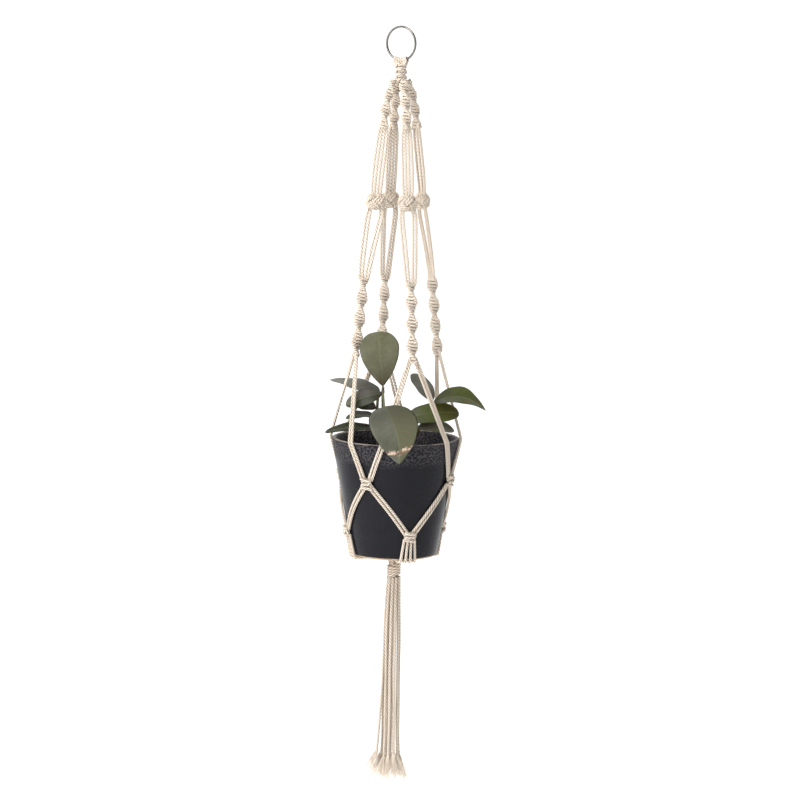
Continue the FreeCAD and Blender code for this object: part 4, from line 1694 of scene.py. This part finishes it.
# The tassel's strands, as in the CAD: real length, then the points of each route from the middle of the
# wrap's underside, in millimetres.
TASSEL_ROUTES = {
    "tassel_strand_01": (283, (7.8, 0, 0), (8.2, 0.4, -36.6), (9.4, -0.5, -87.6), (8.8, 0.4, -140.6),
                         (9.3, -0.3, -192.6), (9, 0.4, -240.6), (12.5, 1, -282.6)),
    "tassel_strand_02": (280, (6.5, 4.2, 0), (6.4, 5.4, -37.6), (7.2, 6.3, -88.6), (7.6, 5.9, -139.6),
                         (6.9, 6.5, -191.6), (7.6, 6.1, -239.6), (10.2, 8, -279.6)),
    "tassel_strand_03": (282, (3.3, 7.1, 0), (2.4, 8.7, -36.6), (2.9, 10.1, -86.6), (2.2, 10.4, -138.6),
                         (3, 9.9, -190.6), (2.4, 10.5, -239.6), (3.8, 13.2, -281.6)),
    "tassel_strand_04": (278, (-1.1, 7.7, 0), (-3, 9.3, -37.6), (-3.8, 10.7, -88.6), (-3.3, 11.2, -140.6),
                         (-4, 10.6, -191.6), (-3.5, 11.3, -238.6), (-4.9, 14, -277.6)),
    "tassel_strand_05": (281.1, (-5.1, 5.9, 0), (-7.8, 7.2, -36.6), (-9, 8.3, -87.6), (-9.5, 7.9, -139.6),
                         (-8.8, 8.6, -192.6), (-9.6, 8.2, -240.6), (-12.4, 10.1, -280.6)),
    "tassel_strand_06": (279.1, (-7.5, 2.2, 0), (-10.6, 2.7, -37.6), (-12.6, 2.4, -89.6),
                         (-12.3, 3.2, -141.6), (-13, 2.6, -192.6), (-12.6, 3.3, -239.6),
                         (-16.4, 4.6, -278.6)),
    "tassel_strand_07": (275.3, (-7.5, -2.2, 0), (-10.8, -2.8, -36.6), (-12.4, -3.4, -87.6),
                         (-13.3, -2.9, -139.6), (-16.2, -3.5, -189.6), (-19.4, -3.1, -236.6),
                         (-22.8, -3.6, -274.6)),
    "tassel_strand_08": (283.1, (-5.1, -5.9, 0), (-7.9, -7.3, -37.6), (-9.6, -7.9, -88.6),
                         (-9.1, -8.5, -140.6), (-9.8, -8, -192.6), (-9.3, -8.6, -240.6),
                         (-12, -10.2, -282.6)),
    "tassel_strand_09": (282, (-1.1, -7.7, 0), (-2.8, -9.4, -36.6), (-3.2, -11, -86.6),
                         (-3.9, -10.6, -138.6), (-3.2, -11.2, -190.6), (-4, -10.8, -239.6),
                         (-4.8, -13.6, -281.6)),
    "tassel_strand_10": (279, (3.3, -7.1, 0), (2.5, -8.7, -37.6), (3, -9.7, -88.6), (2.4, -10.3, -141.6),
                         (3.1, -9.8, -192.6), (2.5, -10.4, -239.6), (4, -12.9, -278.6)),
    "tassel_strand_11": (283.9, (6.5, -4.2, 0), (6.6, -5.3, -36.6), (7.5, -6.2, -87.6), (7, -6.7, -139.6),
                         (7.7, -6.1, -191.6), (7.2, -6.8, -240.6), (10, -8.4, -283.6)),
    "tassel_strand_12": (280.8, (3.35, 1.15, 0), (2.7, 1.6, -38.6), (2.9, 1.9, -89.6), (2.4, 2.4, -140.6),
                         (3, 1.8, -192.6), (2.5, 2.3, -240.6), (3.4, 3.2, -280.6)),
    "tassel_strand_13": (277.9, (-0.1, 3.55, 0), (-1.6, 4.2, -37.6), (-1.9, 4.9, -88.6), (-2.5, 5.3, -139.6),
                         (-1.8, 4.8, -191.6), (-2.4, 5.4, -239.6), (-2.6, 7.2, -277.6)),
    "tassel_strand_14": (281.9, (-3.4, 1.05, 0), (-5.6, 1.2, -38.6), (-6.8, 1.1, -87.6), (-7.1, 1.7, -140.6),
                         (-6.5, 1.1, -192.6), (-7.2, 1.6, -240.6), (-8.8, 2, -281.6)),
    "tassel_strand_15": (278.9, (-2, -2.95, 0), (-3.9, -3.6, -37.6), (-4.6, -4.4, -88.6),
                         (-4.2, -4.9, -139.6), (-4.9, -4.4, -191.6), (-4.4, -5, -239.6),
                         (-5.6, -6.2, -278.6)),
    "tassel_strand_16": (279.9, (2.2, -2.85, 0), (1, -3.4, -38.6), (1.1, -4, -89.6), (1.7, -4.4, -140.6),
                         (1, -3.9, -192.6), (1.6, -4.5, -240.6), (2.4, -5.4, -279.6)),
}


@dataclass(frozen=True)
class Fray:
    """Sizes of the loose fibres at a strand's end, which spread from inside its last turns."""

    fibres: int = 34
    reach: tuple = (17 * MM, 38 * MM)
    radius: tuple = (0.28 * MM, 0.46 * MM)
    tip_share: float = 0.55
    inside: float = 7.0 * MM
    root_radius: float = 1.7 * MM
    root_scatter: float = 3.0 * MM
    turn_scatter: float = 0.3
    sway: float = 1.5 * MM
    bend: float = 1.6 * MM
    swept_back: float = 0.6
    spread: float = 0.22
    spread_range: tuple = (0.3, 1.5)
    outward: float = 0.30
    outward_radius: float = 15.0 * MM
    below_cad: float = 6.0 * MM
    # A faint painted shade on the loose fibres.
    painted_shade: float = 0.05
    stations: int = 7
    sides: int = 5

    def fibre(self, batch: MeshBatch, rng: random.Random, root: np.ndarray, bend: np.ndarray,
              end: np.ndarray) -> None:
        """Add one fibre.

        Args:
            batch: The batch that takes its faces.
            rng: Source of its thickness and tint.
            root: Where it starts.
            bend: The control point between its ends.
            end: Its tip.
        """
        way = np.linspace(0, 1, self.stations)[:, None]
        path = (1 - way) ** 2 * root + 2 * way * (1 - way) * bend + way ** 2 * end
        radius = rng.uniform(*self.radius) * np.linspace(1.0, self.tip_share, self.stations)
        batch.add_tube(tube_rings(path, radius[:, None], circle(self.sides)), self.painted_shade, rng.random())

    def build(self, name: str, line: np.ndarray, tip: np.ndarray, finish: bpy.types.Material,
              rng: random.Random) -> bpy.types.Object:
        """Make all the fibres of one strand.

        Args:
            name: The piece's name.
            line: The twisted part's line, which the fibres leave at its end.
            tip: The strand's tip, which the fibres head for.
            finish: Their material.
            rng: Source of their spread.

        Returns:
            The fibres, as one piece.
        """
        batch = MeshBatch()
        level = line[-1] * (1, 1, 0)
        heading = unit(tip - line[-1]) * 0.5 + DOWN * 0.5 + level / self.outward_radius * self.outward
        start = line[-1] - unit(line[-1] - line[-6]) * self.inside
        lowest = CAD_BOX[0][2] - self.below_cad
        for k in range(self.fibres):
            around = k * SUNFLOWER_TURN + rng.uniform(-self.turn_scatter, self.turn_scatter)
            share = math.sqrt((k + 0.5) / self.fibres)
            aside = np.array((math.cos(around), math.sin(around), 0.0))
            root = start + aside * share * self.root_radius + DOWN * rng.uniform(0, self.root_scatter)
            reach = rng.uniform(*self.reach)
            sway = np.array((rng.gauss(0, 1), rng.gauss(0, 1), 0.0)) * self.sway
            flare = share * reach * self.spread * rng.uniform(*self.spread_range)
            end = root + heading * reach + aside * flare + sway
            end[2] = max(end[2], lowest)
            bend = (root + end) / 2 + aside * rng.gauss(0, self.bend) - sway * self.swept_back
            self.fibre(batch, rng, root, bend, end)
        return hand_over(batch.build(name, finish), "tassel", ())


@dataclass
class Tassel:
    """The sixteen free strands below the wrap, each a twisted cord with a frayed end."""

    finish: bpy.types.Material
    rng: random.Random
    diameter: float = 4 * MM
    twisted_share: float = 0.925
    line_step: float = 1.0 * MM
    fray: Fray = Fray()

    def strand(self, name: str, route: tuple, length: float) -> None:
        """Make one strand and its frayed end.

        Args:
            name: The CAD node that it replaces.
            route: Control points of its line, in millimetres from the middle of the wrap's underside.
            length: Its real length. Not used.
        """
        underside = np.array((0.0, 0.0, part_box("gathering_wrap")[0][2]))
        points = [underside + np.array(point) * MM for point in route]
        whole = resample(route_line(points), self.line_step)
        line = whole[:int(len(whole) * self.twisted_share)]
        batch = MeshBatch()
        Cord(radius=self.diameter / 2).sweep(batch, line, self.rng.random(), self.rng.uniform(0, math.tau))
        piece = batch.build(name + "_rope", self.finish)
        hand_over(piece, "tassel", (name,))
        fray = self.fray.build(name + "_fray", line, whole[-1], self.finish, self.rng)

    def build(self) -> None:
        """Make all sixteen strands."""
        for name, (length, *route) in TASSEL_ROUTES.items():
            self.strand(name, tuple(route), length * MM)


# ---------------- pot, soil and plant


@dataclass
class Pot:
    """The glazed pot. The lip's wear, which also carries a painted highlight, is from one angle round its
    rounding to another, in degrees.
    """

    wall: float = 6.6 * MM
    lip_round: float = 2.8 * MM
    lip_ends: tuple = (12.0, 168.0)
    lip_steps: int = 13
    lip_wear_highlight: tuple = (40.0, 150.0)
    foot_round: float = 3.0 * MM
    foot_ends: tuple = (-90.0, -8.0)
    foot_steps: int = 5
    foot_ease: float = 0.2 * MM
    under_reach: float = 3.4 * MM
    hub: float = 1.0 * MM
    floor: float = 8.0 * MM
    inside_steps: int = 12
    plain_steps: int = 22
    rough_steps: int = 30
    around: int = 448
    rough_depth: float = 27 * MM
    rough_full: float = 0.6
    rough_height: float = 0.62 * MM
    bubbles: tuple = ((420.0, 0.75), (900.0, 0.45))
    bubble_shift: tuple = (3.0, 7.0, 1.0)
    swell_scale: float = 38.0
    swell_height: float = 0.18 * MM
    smooth_foot: float = 1.0 * MM
    outside_margin: float = 1.0 * MM

    def __post_init__(self) -> None:
        """Read the pot's outside from the CAD."""
        low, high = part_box("pot")
        self.foot, self.rim, self.rim_radius = low[2], high[2], high[0]
        self.slope = POT_TAPER / (self.rim - self.foot)

    def radius_at(self, height: float) -> float:
        """Outer radius of the pot's side at a height."""
        return self.rim_radius + (height - self.rim) * self.slope

    def outline(self) -> tuple[list, list]:
        """The section from the middle of the base, up the outside, over the lip and down to the floor.

        Returns:
            Radius and height of each point, and which of them are on the worn lip.
        """
        foot_radius = self.radius_at(self.foot)
        under = (self.hub, 0.5 * foot_radius, foot_radius - self.under_reach)
        section = [(radius, self.foot) for radius in under]
        for angle in np.radians(np.linspace(*self.foot_ends, self.foot_steps)):
            section.append((foot_radius - self.foot_round * (1 - math.cos(angle)) + self.foot_ease,
                            self.foot + self.foot_round * (1 + math.sin(angle))))
        low, high = self.foot + self.foot_round, self.rim - self.lip_round
        fine = high - self.rough_depth
        plain = np.linspace(low, fine, self.plain_steps)[1:-1]
        for height in (*plain, *np.linspace(fine, high, self.rough_steps)):
            section.append((self.radius_at(height), height))
        lip = [False] * len(section)
        reach = self.wall / 2
        for turn in np.linspace(*self.lip_ends, self.lip_steps):
            angle = math.radians(turn)
            section.append((self.rim_radius - self.wall / 2 + reach * math.cos(angle),
                            self.rim - self.lip_round * (1 - math.sin(angle))))
            lip.append(self.lip_wear_highlight[0] <= turn <= self.lip_wear_highlight[1])
        for height in np.linspace(high, self.foot + self.floor, self.inside_steps):
            section.append((self.radius_at(height) - self.wall, height))
        section.append((self.hub, self.foot + self.floor))
        lip += [False] * (len(section) - len(lip))
        return section, lip

    def relief(self, place: np.ndarray) -> float:
        """How far the glaze stands out at a point: bubbly under the rim and gently uneven below.

        Args:
            place: A point of the pot's side.

        Returns:
            The height of the relief there.
        """
        depth = (self.rim - place[2]) / self.rough_depth
        band = min(1.0, max(0.0, 1 - (depth - self.rough_full) / (1 - self.rough_full)))
        gentle = noise.noise(Vector(place) * self.swell_scale) * self.swell_height
        (scale, share), (fine_scale, fine_share) = self.bubbles
        coarse = noise.noise(Vector(place) * scale)
        fine = noise.noise(Vector(place) * fine_scale + Vector(self.bubble_shift))
        return gentle + band * self.rough_height * (share * coarse + fine_share * fine)

    def build(self, glaze: bpy.types.Material) -> bpy.types.Object:
        """Make the pot.

        Args:
            glaze: Its material.

        Returns:
            The pot.
        """
        section, lip = self.outline()
        angle = circle(self.around)
        inside_from = self.rim_radius - self.wall
        rings = []
        for radius, height in section:
            ring = round_axis(radius, angle, height)
            outside = radius > inside_from + (height - self.rim) * self.slope + self.outside_margin
            if outside and height > self.foot + self.smooth_foot:
                lift = np.array([self.relief(place) for place in ring])
                ring = ring + round_axis(1.0, angle, 0.0) * lift[:, None]
            rings.append(ring)
        batch = MeshBatch()
        batch.add_tube(np.array(rings))
        piece = batch.build("glazed_pot", glaze)
        set_mask(piece.data, "rim_edge", np.repeat(np.array(lip), self.around))
        return hand_over(piece, "pot", ("pot",))


@dataclass(frozen=True)
class Soil:
    """The soil in the pot: an uneven surface, as swells of a scale and a height, with crumbs on it."""

    steps: int = 40
    sides: int = 144
    hub_share: float = 0.02
    swells: tuple = ((60.0, 1.6 * MM), (260.0, 1.3 * MM))
    sunk: float = 0.6 * MM
    thickness: float = 12.0 * MM
    closed_share: float = 0.05
    crumbs: int = 170
    crumb_reach: float = 0.94
    crumb_rise: float = 0.6 * MM
    crumb_size: tuple = (1.0 * MM, 3.2 * MM)
    crumb_flatness: tuple = (0.45, 0.8)
    crumb_lumps: float = 0.25
    crumb_top: float = 1.4
    crumb_rings: int = 6
    crumb_sides: int = 9

    def build(self, finish: bpy.types.Material, rng: random.Random) -> bpy.types.Object:
        """Make the surface and its crumbs.

        Args:
            finish: Its material.
            rng: Source of its crumbs.

        Returns:
            The soil.
        """
        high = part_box("soil")[1]
        top, radius = high[2], high[0]
        batch = MeshBatch()
        angle = circle(self.sides)
        (scale, swell), (fine_scale, fine_swell) = self.swells
        rings = []
        for share in np.linspace(self.hub_share, 1.0, self.steps):
            ring = round_axis(share * radius, angle, top)
            swelling = [noise.noise(Vector(place) * scale) * swell
                        + noise.noise(Vector(place) * fine_scale) * fine_swell for place in ring]
            ring[:, 2] += np.array(swelling) - self.sunk
            rings.append(ring)
        rings.append(rings[-1] * (1, 1, 0) + np.array((0, 0, top - self.thickness)))
        rings.append(rings[-1] * (self.closed_share, self.closed_share, 1))
        batch.add_tube(np.array(rings)[::-1])
        for _ in range(self.crumbs):
            reach = radius * self.crumb_reach * math.sqrt(rng.random())
            place = polar(reach, rng.uniform(0, 360), top + self.crumb_rise)
            self.crumb(batch, rng, place, rng.uniform(*self.crumb_size))
        return hand_over(batch.build("soil_surface", finish), "pot", ("soil",))

    def crumb(self, batch: MeshBatch, rng: random.Random, place: np.ndarray, size: float) -> None:
        """Add one lumpy crumb of soil.

        Args:
            batch: The batch that takes its faces.
            rng: Source of its lumps.
            place: Its middle.
            size: Its radius.
        """
        around = circle(self.crumb_sides)
        flat = rng.uniform(*self.crumb_flatness)
        rings = []
        for latitude in np.linspace(-self.crumb_top, self.crumb_top, self.crumb_rings):
            lump = size * (1 + self.crumb_lumps * np.array([rng.uniform(-1, 1) for _ in around]))
            height = lump * flat * math.sin(latitude)
            rings.append(round_axis(lump * math.cos(latitude), around, height) + place)
        batch.add_tube(np.array(rings), tint=rng.random())


@dataclass(frozen=True)
class StemShape:
    """A stem or stalk: its route from the soil's surface, its thickness, and where it is young and green."""

    route: tuple
    radius: tuple
    nodes: tuple = ()
    green_from: float = 0.8
    green_over: float = 0.12
    node_swell: float = 0.32
    node_length: float = 0.022
    bumps: float = 0.05
    step: float = 1.2 * MM
    sides: int = 14

    def add(self, batch: MeshBatch, ground: np.ndarray, rng: random.Random) -> None:
        """Add the stem to a batch.

        Args:
            batch: The batch.
            ground: Middle of the soil's surface.
            rng: Source of its small bumps.
        """
        line = resample(route_line([ground + np.array(point) * MM for point in self.route]), self.step)
        share = np.linspace(0, 1, len(line))
        radius = np.interp(share, (0, 1), self.radius)
        for node in self.nodes:
            radius = radius * (1 + self.node_swell * np.exp(-((share - node) / self.node_length) ** 2))
        turn = circle(self.sides)
        wobble = 1 + self.bumps * np.array([[rng.uniform(-1, 1) for _ in turn] for _ in share])
        batch.add_tube(tube_rings(line, radius[:, None] * wobble, turn))
        young = np.clip((share - self.green_from) / self.green_over + 0.5, 0, 1)
        batch.tint[-1] = np.repeat(young, self.sides)


@dataclass(frozen=True)
class Leaf:
    """One leaf blade, from where it joins its stem to its tip.

    Its base and tip are from the middle of the soil's surface. They and its width, crown, ripple, sway and
    thickness are in millimetres.
    """

    node: str
    base: tuple
    tip: tuple
    face: tuple
    width: float
    crown: float
    outline: Outline
    finish: str
    fold: float = 0.10
    ripple: float = 0.7
    sway: float = 0.0
    thick: float = 1.4
    least_half: float = 0.5 * MM
    uneven: float = 0.03
    uneven_scale: float = 6.0
    crowding: float = 1.25
    fold_power: float = 1.3
    waves: float = 13.0
    wave_shift: float = 1.7
    edge_thick: float = 0.28
    full_thick_from: float = 4.0 * MM
    rib_width: float = 1.0 * MM
    rib_groove: float = 0.30 * MM
    rib_ridge: float = 0.45 * MM
    stations: int = 64
    columns: int = 15

    def build(self, ground: np.ndarray, material: bpy.types.Material, rng: random.Random) -> bpy.types.Object:
        """Make the blade.

        Args:
            ground: Middle of the soil's surface.
            material: Its finish.
            rng: Source of its ripples.

        Returns:
            The blade.
        """
        base, tip = (ground + np.array(point) * MM for point in (self.base, self.tip))
        along = unit(tip - base)
        length = np.linalg.norm(tip - base)
        up = unit(np.array(self.face, dtype=float) - along * (np.array(self.face) @ along))
        side = np.cross(up, along)
        grow, shrink = self.outline.value
        share = np.linspace(0.0, 1.0, self.stations)
        swell = share ** grow * (1 - share) ** shrink
        half = np.maximum(self.width / 2 * MM * swell / swell.max(), self.least_half)
        ragged = [noise.noise(Vector((s * self.uneven_scale, self.width, self.crown))) for s in share]
        half = half * (1 + self.uneven * np.array(ragged))
        arch = 4 * share * (1 - share) * MM
        spread = np.linspace(-1, 1, 2 * self.columns + 1)
        across = np.sign(spread) * np.abs(spread) ** self.crowding
        start = rng.uniform(0, math.tau)
        phase = share[:, None] * self.waves + start + self.wave_shift * np.sign(across)
        wave = np.sin(phase) * np.abs(across) ** 3
        sheet = (self.fold * half[:, None] * np.abs(across) ** self.fold_power + self.ripple * MM * wave
                 * np.sin(math.pi * share)[:, None] ** 0.6)
        rounded = self.edge_thick + (1 - self.edge_thick) * np.sqrt(1 - across ** 2)
        flesh = self.thick * MM * rounded * np.minimum(1, half / self.full_thick_from)[:, None]
        rib = np.exp(-(across * half[:, None] / self.rib_width) ** 2)
        fading = np.clip(1 - share, 0, 1)[:, None] ** 0.5
        top = sheet + flesh / 2 - self.rib_groove * rib * fading
        bottom = (sheet - flesh / 2 - self.rib_ridge * rib * fading)[:, 1:-1][:, ::-1]
        sides = np.concatenate([across, across[1:-1][::-1]])
        heights = np.concatenate([top, bottom], axis=1)
        flat = half[:, None] * sides
        rings = (base + along * (length * share)[:, None, None]
                 + side * (flat + self.sway * arch[:, None])[..., None]
                 + up * (heights + self.crown * arch[:, None])[..., None])
        batch = MeshBatch()
        batch.add_tube(rings)
        piece = batch.build(self.node + "_blade", material)
        faces_up = np.concatenate([np.ones(len(across)), -np.ones(len(across) - 2)])
        masks = {
            "leaf_along": np.broadcast_to(share[:, None], heights.shape),
            "leaf_across": np.broadcast_to(sides, heights.shape),
            "leaf_side": np.broadcast_to(faces_up, heights.shape),
            "leaf_rib": np.concatenate([rib, rib[:, 1:-1][:, ::-1]], axis=1),
        }
        for label, values in masks.items():
            set_mask(piece.data, label, values)
        return hand_over(piece, "pot", (self.node,))


# Stems and stalks, as in the CAD, in millimetres from the middle of the soil's surface.
STEMS = (
    StemShape(((-10, -12, -4), (-14, -19, 31.7), (-19, -26, 65.7), (-18.5, -30, 95.7)), (2.3 * MM, 1.9 * MM),
              nodes=(0.34, 0.66, 0.93), green_from=0.97),
    StemShape(((14, -8, -4), (31, -15, 33.7), (50, -24, 72.7)), (2.2 * MM, 1.9 * MM), nodes=(0.3, 0.62, 0.9),
              green_from=0.5),
    StemShape(((-22, 2, -4), (-27, 0, 25.7), (-27, -6, 57.7), (-25, -12, 83.7)), (2.2 * MM, 1.9 * MM),
              nodes=(0.4, 0.75)),
    StemShape(((-18.5, -31, 89.7), (-18, -60, 88.7), (-16, -85, 74.7)), (1.7 * MM, 1.3 * MM), green_from=0.3),
    StemShape(((22, -11, 15.7), (14, -24, 35.7), (10, -33, 50.7)), (1.5 * MM, 1.2 * MM), green_from=0.3),
    StemShape(((27, -14, 25.7), (29, -26, 34.7), (31, -34, 39.7)), (1.5 * MM, 1.2 * MM), green_from=0.3),
    StemShape(((-26, 0, 23.7), (-26, -10, 31.7), (-28, -16, 35.7)), (1.5 * MM, 1.2 * MM), green_from=0.3),
)

LEAVES = (
    Leaf("leaf_upright", (-18.5, -30.5, 95.9), (-26.5, -40, 173.5), (0, -1, 0.1), 54, 4, Outline.OBOVATE,
         "grey", fold=0.05, ripple=0.9),
    Leaf("leaf_front", (-16, -84, 75.7), (5, -104, -0.3), (0, -1, 0.3), 65, 5, Outline.OVATE, "hanging",
         fold=-0.10, ripple=0.5, sway=7),
    Leaf("leaf_arching", (50.5, -24, 73.2), (124, -32, 64.7), (0, -0.5, 1), 42, 17, Outline.POINTED,
         "bright", fold=0.16, ripple=0.8),
    Leaf("leaf_right_broad", (10, -33, 50.7), (87, -20, 59.7), (0, -0.9, 0.8), 34, 7, Outline.BLUNT,
         "olive"),
    Leaf("leaf_right_low", (30, -34, 39.7), (81, -22, 34.7), (0, -0.6, 1), 28, 5, Outline.ELLIPTIC, "grey"),
    Leaf("leaf_right_back", (50, -22, 75.7), (21, 2, 110.7), (0.5, -1, 0.6), 26, 4, Outline.ELLIPTIC,
         "silver"),
    Leaf("leaf_left_back", (-25, -9, 83.7), (-94, 50, 94.7), (0, -0.5, 1), 28, 5, Outline.OVATE, "silver"),
    Leaf("leaf_left_mid", (-20, -30.5, 87), (-69.5, -34, 69.5), (-0.1, -1, 0.7), 26, 4, Outline.ELLIPTIC,
         "shaded"),
    Leaf("leaf_left_dark", (-28, -8, 63.7), (-69, -14, 72.7), (0, -0.8, 1), 28, 4, Outline.ELLIPTIC, "dark"),
    Leaf("leaf_left_low", (-28, -2, 50.7), (-70, -6, 47.7), (0, -0.3, 1), 24, 4, Outline.ELLIPTIC, "dark"),
    Leaf("leaf_rim", (-27, -16, 35.7), (-98, -20, 29.7), (0, -0.4, 1), 24, 5, Outline.ELLIPTIC, "dark"),
)

LEAF_FINISHES = {
    "grey": LeafFinish("leaf grey-green", (0.060, 0.070, 0.037, 1.0), (0.128, 0.137, 0.090, 1.0)),
    "hanging": LeafFinish("leaf hanging", (0.050, 0.060, 0.044, 1.0), (0.112, 0.118, 0.088, 1.0),
                          second=(0.092, 0.096, 0.056, 1.0), scar=True),
    "bright": LeafFinish("leaf bright green", (0.026, 0.044, 0.009, 1.0), (0.058, 0.082, 0.022, 1.0),
                         under=(0.050, 0.066, 0.030, 1.0)),
    "olive": LeafFinish("leaf olive", (0.036, 0.056, 0.011, 1.0), (0.080, 0.098, 0.028, 1.0),
                        under=(0.060, 0.080, 0.035, 1.0)),
    "silver": LeafFinish("leaf pale grey-green", (0.080, 0.092, 0.078, 1.0), (0.135, 0.148, 0.130, 1.0),
                         under=(0.090, 0.105, 0.090, 1.0)),
    "shaded": LeafFinish("leaf grey in shade", (0.040, 0.042, 0.033, 1.0), (0.085, 0.085, 0.072, 1.0),
                         second=(0.020, 0.026, 0.009, 1.0), under=(0.040, 0.045, 0.030, 1.0)),
    "dark": LeafFinish("leaf dark", (0.010, 0.014, 0.006, 1.0), (0.026, 0.032, 0.016, 1.0),
                       under=(0.030, 0.036, 0.022, 1.0)),
}


@dataclass
class Plant:
    """The stems and leaves."""

    rng: random.Random

    def build(self) -> None:
        """Make the plant on the soil."""
        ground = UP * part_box("soil")[1][2]
        batch = MeshBatch()
        for shape in STEMS:
            shape.add(batch, ground, self.rng)
        hand_over(batch.build("plant_stems", StemFinish().material()), "pot", ("stem",))
        finishes = {key: finish.material() for key, finish in LEAF_FINISHES.items()}
        for leaf in LEAVES:
            leaf.build(ground, finishes[leaf.finish], self.rng)


# ---------------- studio


@dataclass(frozen=True)
class SoftLight:
    """A square area light that faces the planter's middle."""

    name: str
    place: tuple
    size: float
    power: float
    colour: tuple
    aim: tuple = (0.0, 0.0, -0.5)

    def build(self) -> None:
        """Add the light."""
        lamp = bpy.data.lights.new(self.name, "AREA")
        lamp.size, lamp.energy, lamp.color = self.size, self.power, self.colour
        holder = bpy.data.objects.new(self.name, lamp)
        holder.location = self.place
        holder.rotation_euler = (Vector(self.aim) - Vector(self.place)).to_track_quat("-Z", "Y").to_euler()
        bpy.context.scene.collection.objects.link(holder)


@dataclass(frozen=True)
class Studio:
    """A pale floor that curves up into a backdrop, soft lights and the camera."""

    floor_height: float = -1.35
    reach: float = 7.0
    sweep: float = 2.0
    wall_top: float = 12.0
    half_width: float = 14.0
    camera_place: tuple = (0.0052, -4.66, 0.0873)
    camera_pitch: float = 7.35
    camera_roll: float = 0.81
    lens: float = 152.3
    sensor: float = 36.0
    sky_light: float = 0.26
    sky_seen: float = 0.93
    paper: tuple = (0.90, 0.90, 0.90, 1.0)
    paper_glow: float = 0.62
    bend_steps: int = 16
    bend_start: float = 0.1
    lights: tuple = (
        SoftLight("key", (-2.6, -1.9, 0.7), 1.5, 88.0, (1.0, 0.985, 0.97)),
        SoftLight("fill", (2.3, -2.6, 0.1), 2.0, 19.0, (0.97, 0.985, 1.0)),
        SoftLight("top", (-0.7, -1.1, 1.35), 1.0, 34.0, (1.0, 1.0, 1.0)),
    )

    def build(self) -> None:
        """Set the studio up."""
        self.backdrop()
        self.world()
        for light in self.lights:
            light.build()
        self.camera()

    def backdrop(self) -> None:
        """Make the floor and backdrop as one swept sheet."""
        section = [(-self.reach, self.floor_height), (self.reach, self.floor_height)]
        for angle in np.linspace(self.bend_start, math.pi / 2, self.bend_steps):
            section.append((self.reach + self.sweep * math.sin(angle),
                            self.floor_height + self.sweep * (1 - math.cos(angle))))
        section.append((self.reach + self.sweep, self.wall_top))
        mesh = bpy.data.meshes.new("backdrop")
        rows = [(x, y, z) for y, z in section for x in (-self.half_width, self.half_width)]
        faces = [(2 * k, 2 * k + 1, 2 * k + 3, 2 * k + 2) for k in range(len(section) - 1)]
        mesh.from_pydata(rows, [], faces)
        mesh.polygons.foreach_set("use_smooth", [True] * len(mesh.polygons))
        s = Shader("backdrop paper")
        s.settle(Base_Color=self.paper, Roughness=0.9, Specular_IOR_Level=0.1,
                 Emission_Color=(1.0, 1.0, 1.0, 1.0), Emission_Strength=self.paper_glow)
        mesh.materials.append(s.material)
        sheet = bpy.data.objects.new("backdrop", mesh)
        bpy.context.scene.collection.objects.link(sheet)

    def world(self) -> None:
        """Light the scene evenly from all round."""
        world = bpy.data.worlds.new("studio")
        world.use_nodes = True
        tree = world.node_tree
        sky = tree.nodes["Background"]
        sky.inputs["Color"].default_value = (1.0, 1.0, 1.0, 1.0)
        seen = tree.nodes.new("ShaderNodeMapRange")
        seen.inputs["To Min"].default_value = self.sky_light
        seen.inputs["To Max"].default_value = self.sky_seen
        tree.links.new(tree.nodes.new("ShaderNodeLightPath").outputs["Is Camera Ray"], seen.inputs["Value"])
        tree.links.new(seen.outputs["Result"], sky.inputs["Strength"])
        bpy.context.scene.world = world
        bpy.context.scene.view_settings.view_transform = "Standard"

    def camera(self) -> None:
        """Place the camera and give it to the scene."""
        lens = bpy.data.cameras.new("camera")
        lens.lens, lens.sensor_width = self.lens, self.sensor
        holder = bpy.data.objects.new("camera", lens)
        pitch = Matrix.Rotation(math.radians(90 - self.camera_pitch), 4, "X")
        roll = Matrix.Rotation(math.radians(self.camera_roll), 4, "Z")
        holder.matrix_world = Matrix.Translation(self.camera_place) @ pitch @ roll
        bpy.context.scene.collection.objects.link(holder)
        bpy.context.scene.camera = holder


def main() -> None:
    """Build the whole planter and its studio."""
    logging.basicConfig(level=logging.INFO, format="%(name)s: %(message)s")
    rng = random.Random(SEED)
    cotton = CottonFinish().material()
    ring = SteelRing()
    arms = tuple(Arm(name, azimuth_of(middle("crown_knot_" + name)), *row) for name, row in ARM_ROWS.items())
    ring.build(SteelFinish().material())
    RingLoops(ring).build(cotton, rng)
    UpperHanger(cotton, rng, arms).build()
    azimuths = Sling(cotton, rng, {arm.name: arm for arm in arms}).build()
    Gathering(cotton, rng, azimuths).build()
    Wrap().build(cotton)
    Tassel(cotton, rng).build()
    pot = Pot()
    pot.build(GlazeFinish(rim=pot.rim, foot=pot.foot).material())
    Soil().build(SoilFinish().material(), rng)
    Plant(rng).build()
    Studio().build()


if __name__ == "__main__":
    main()
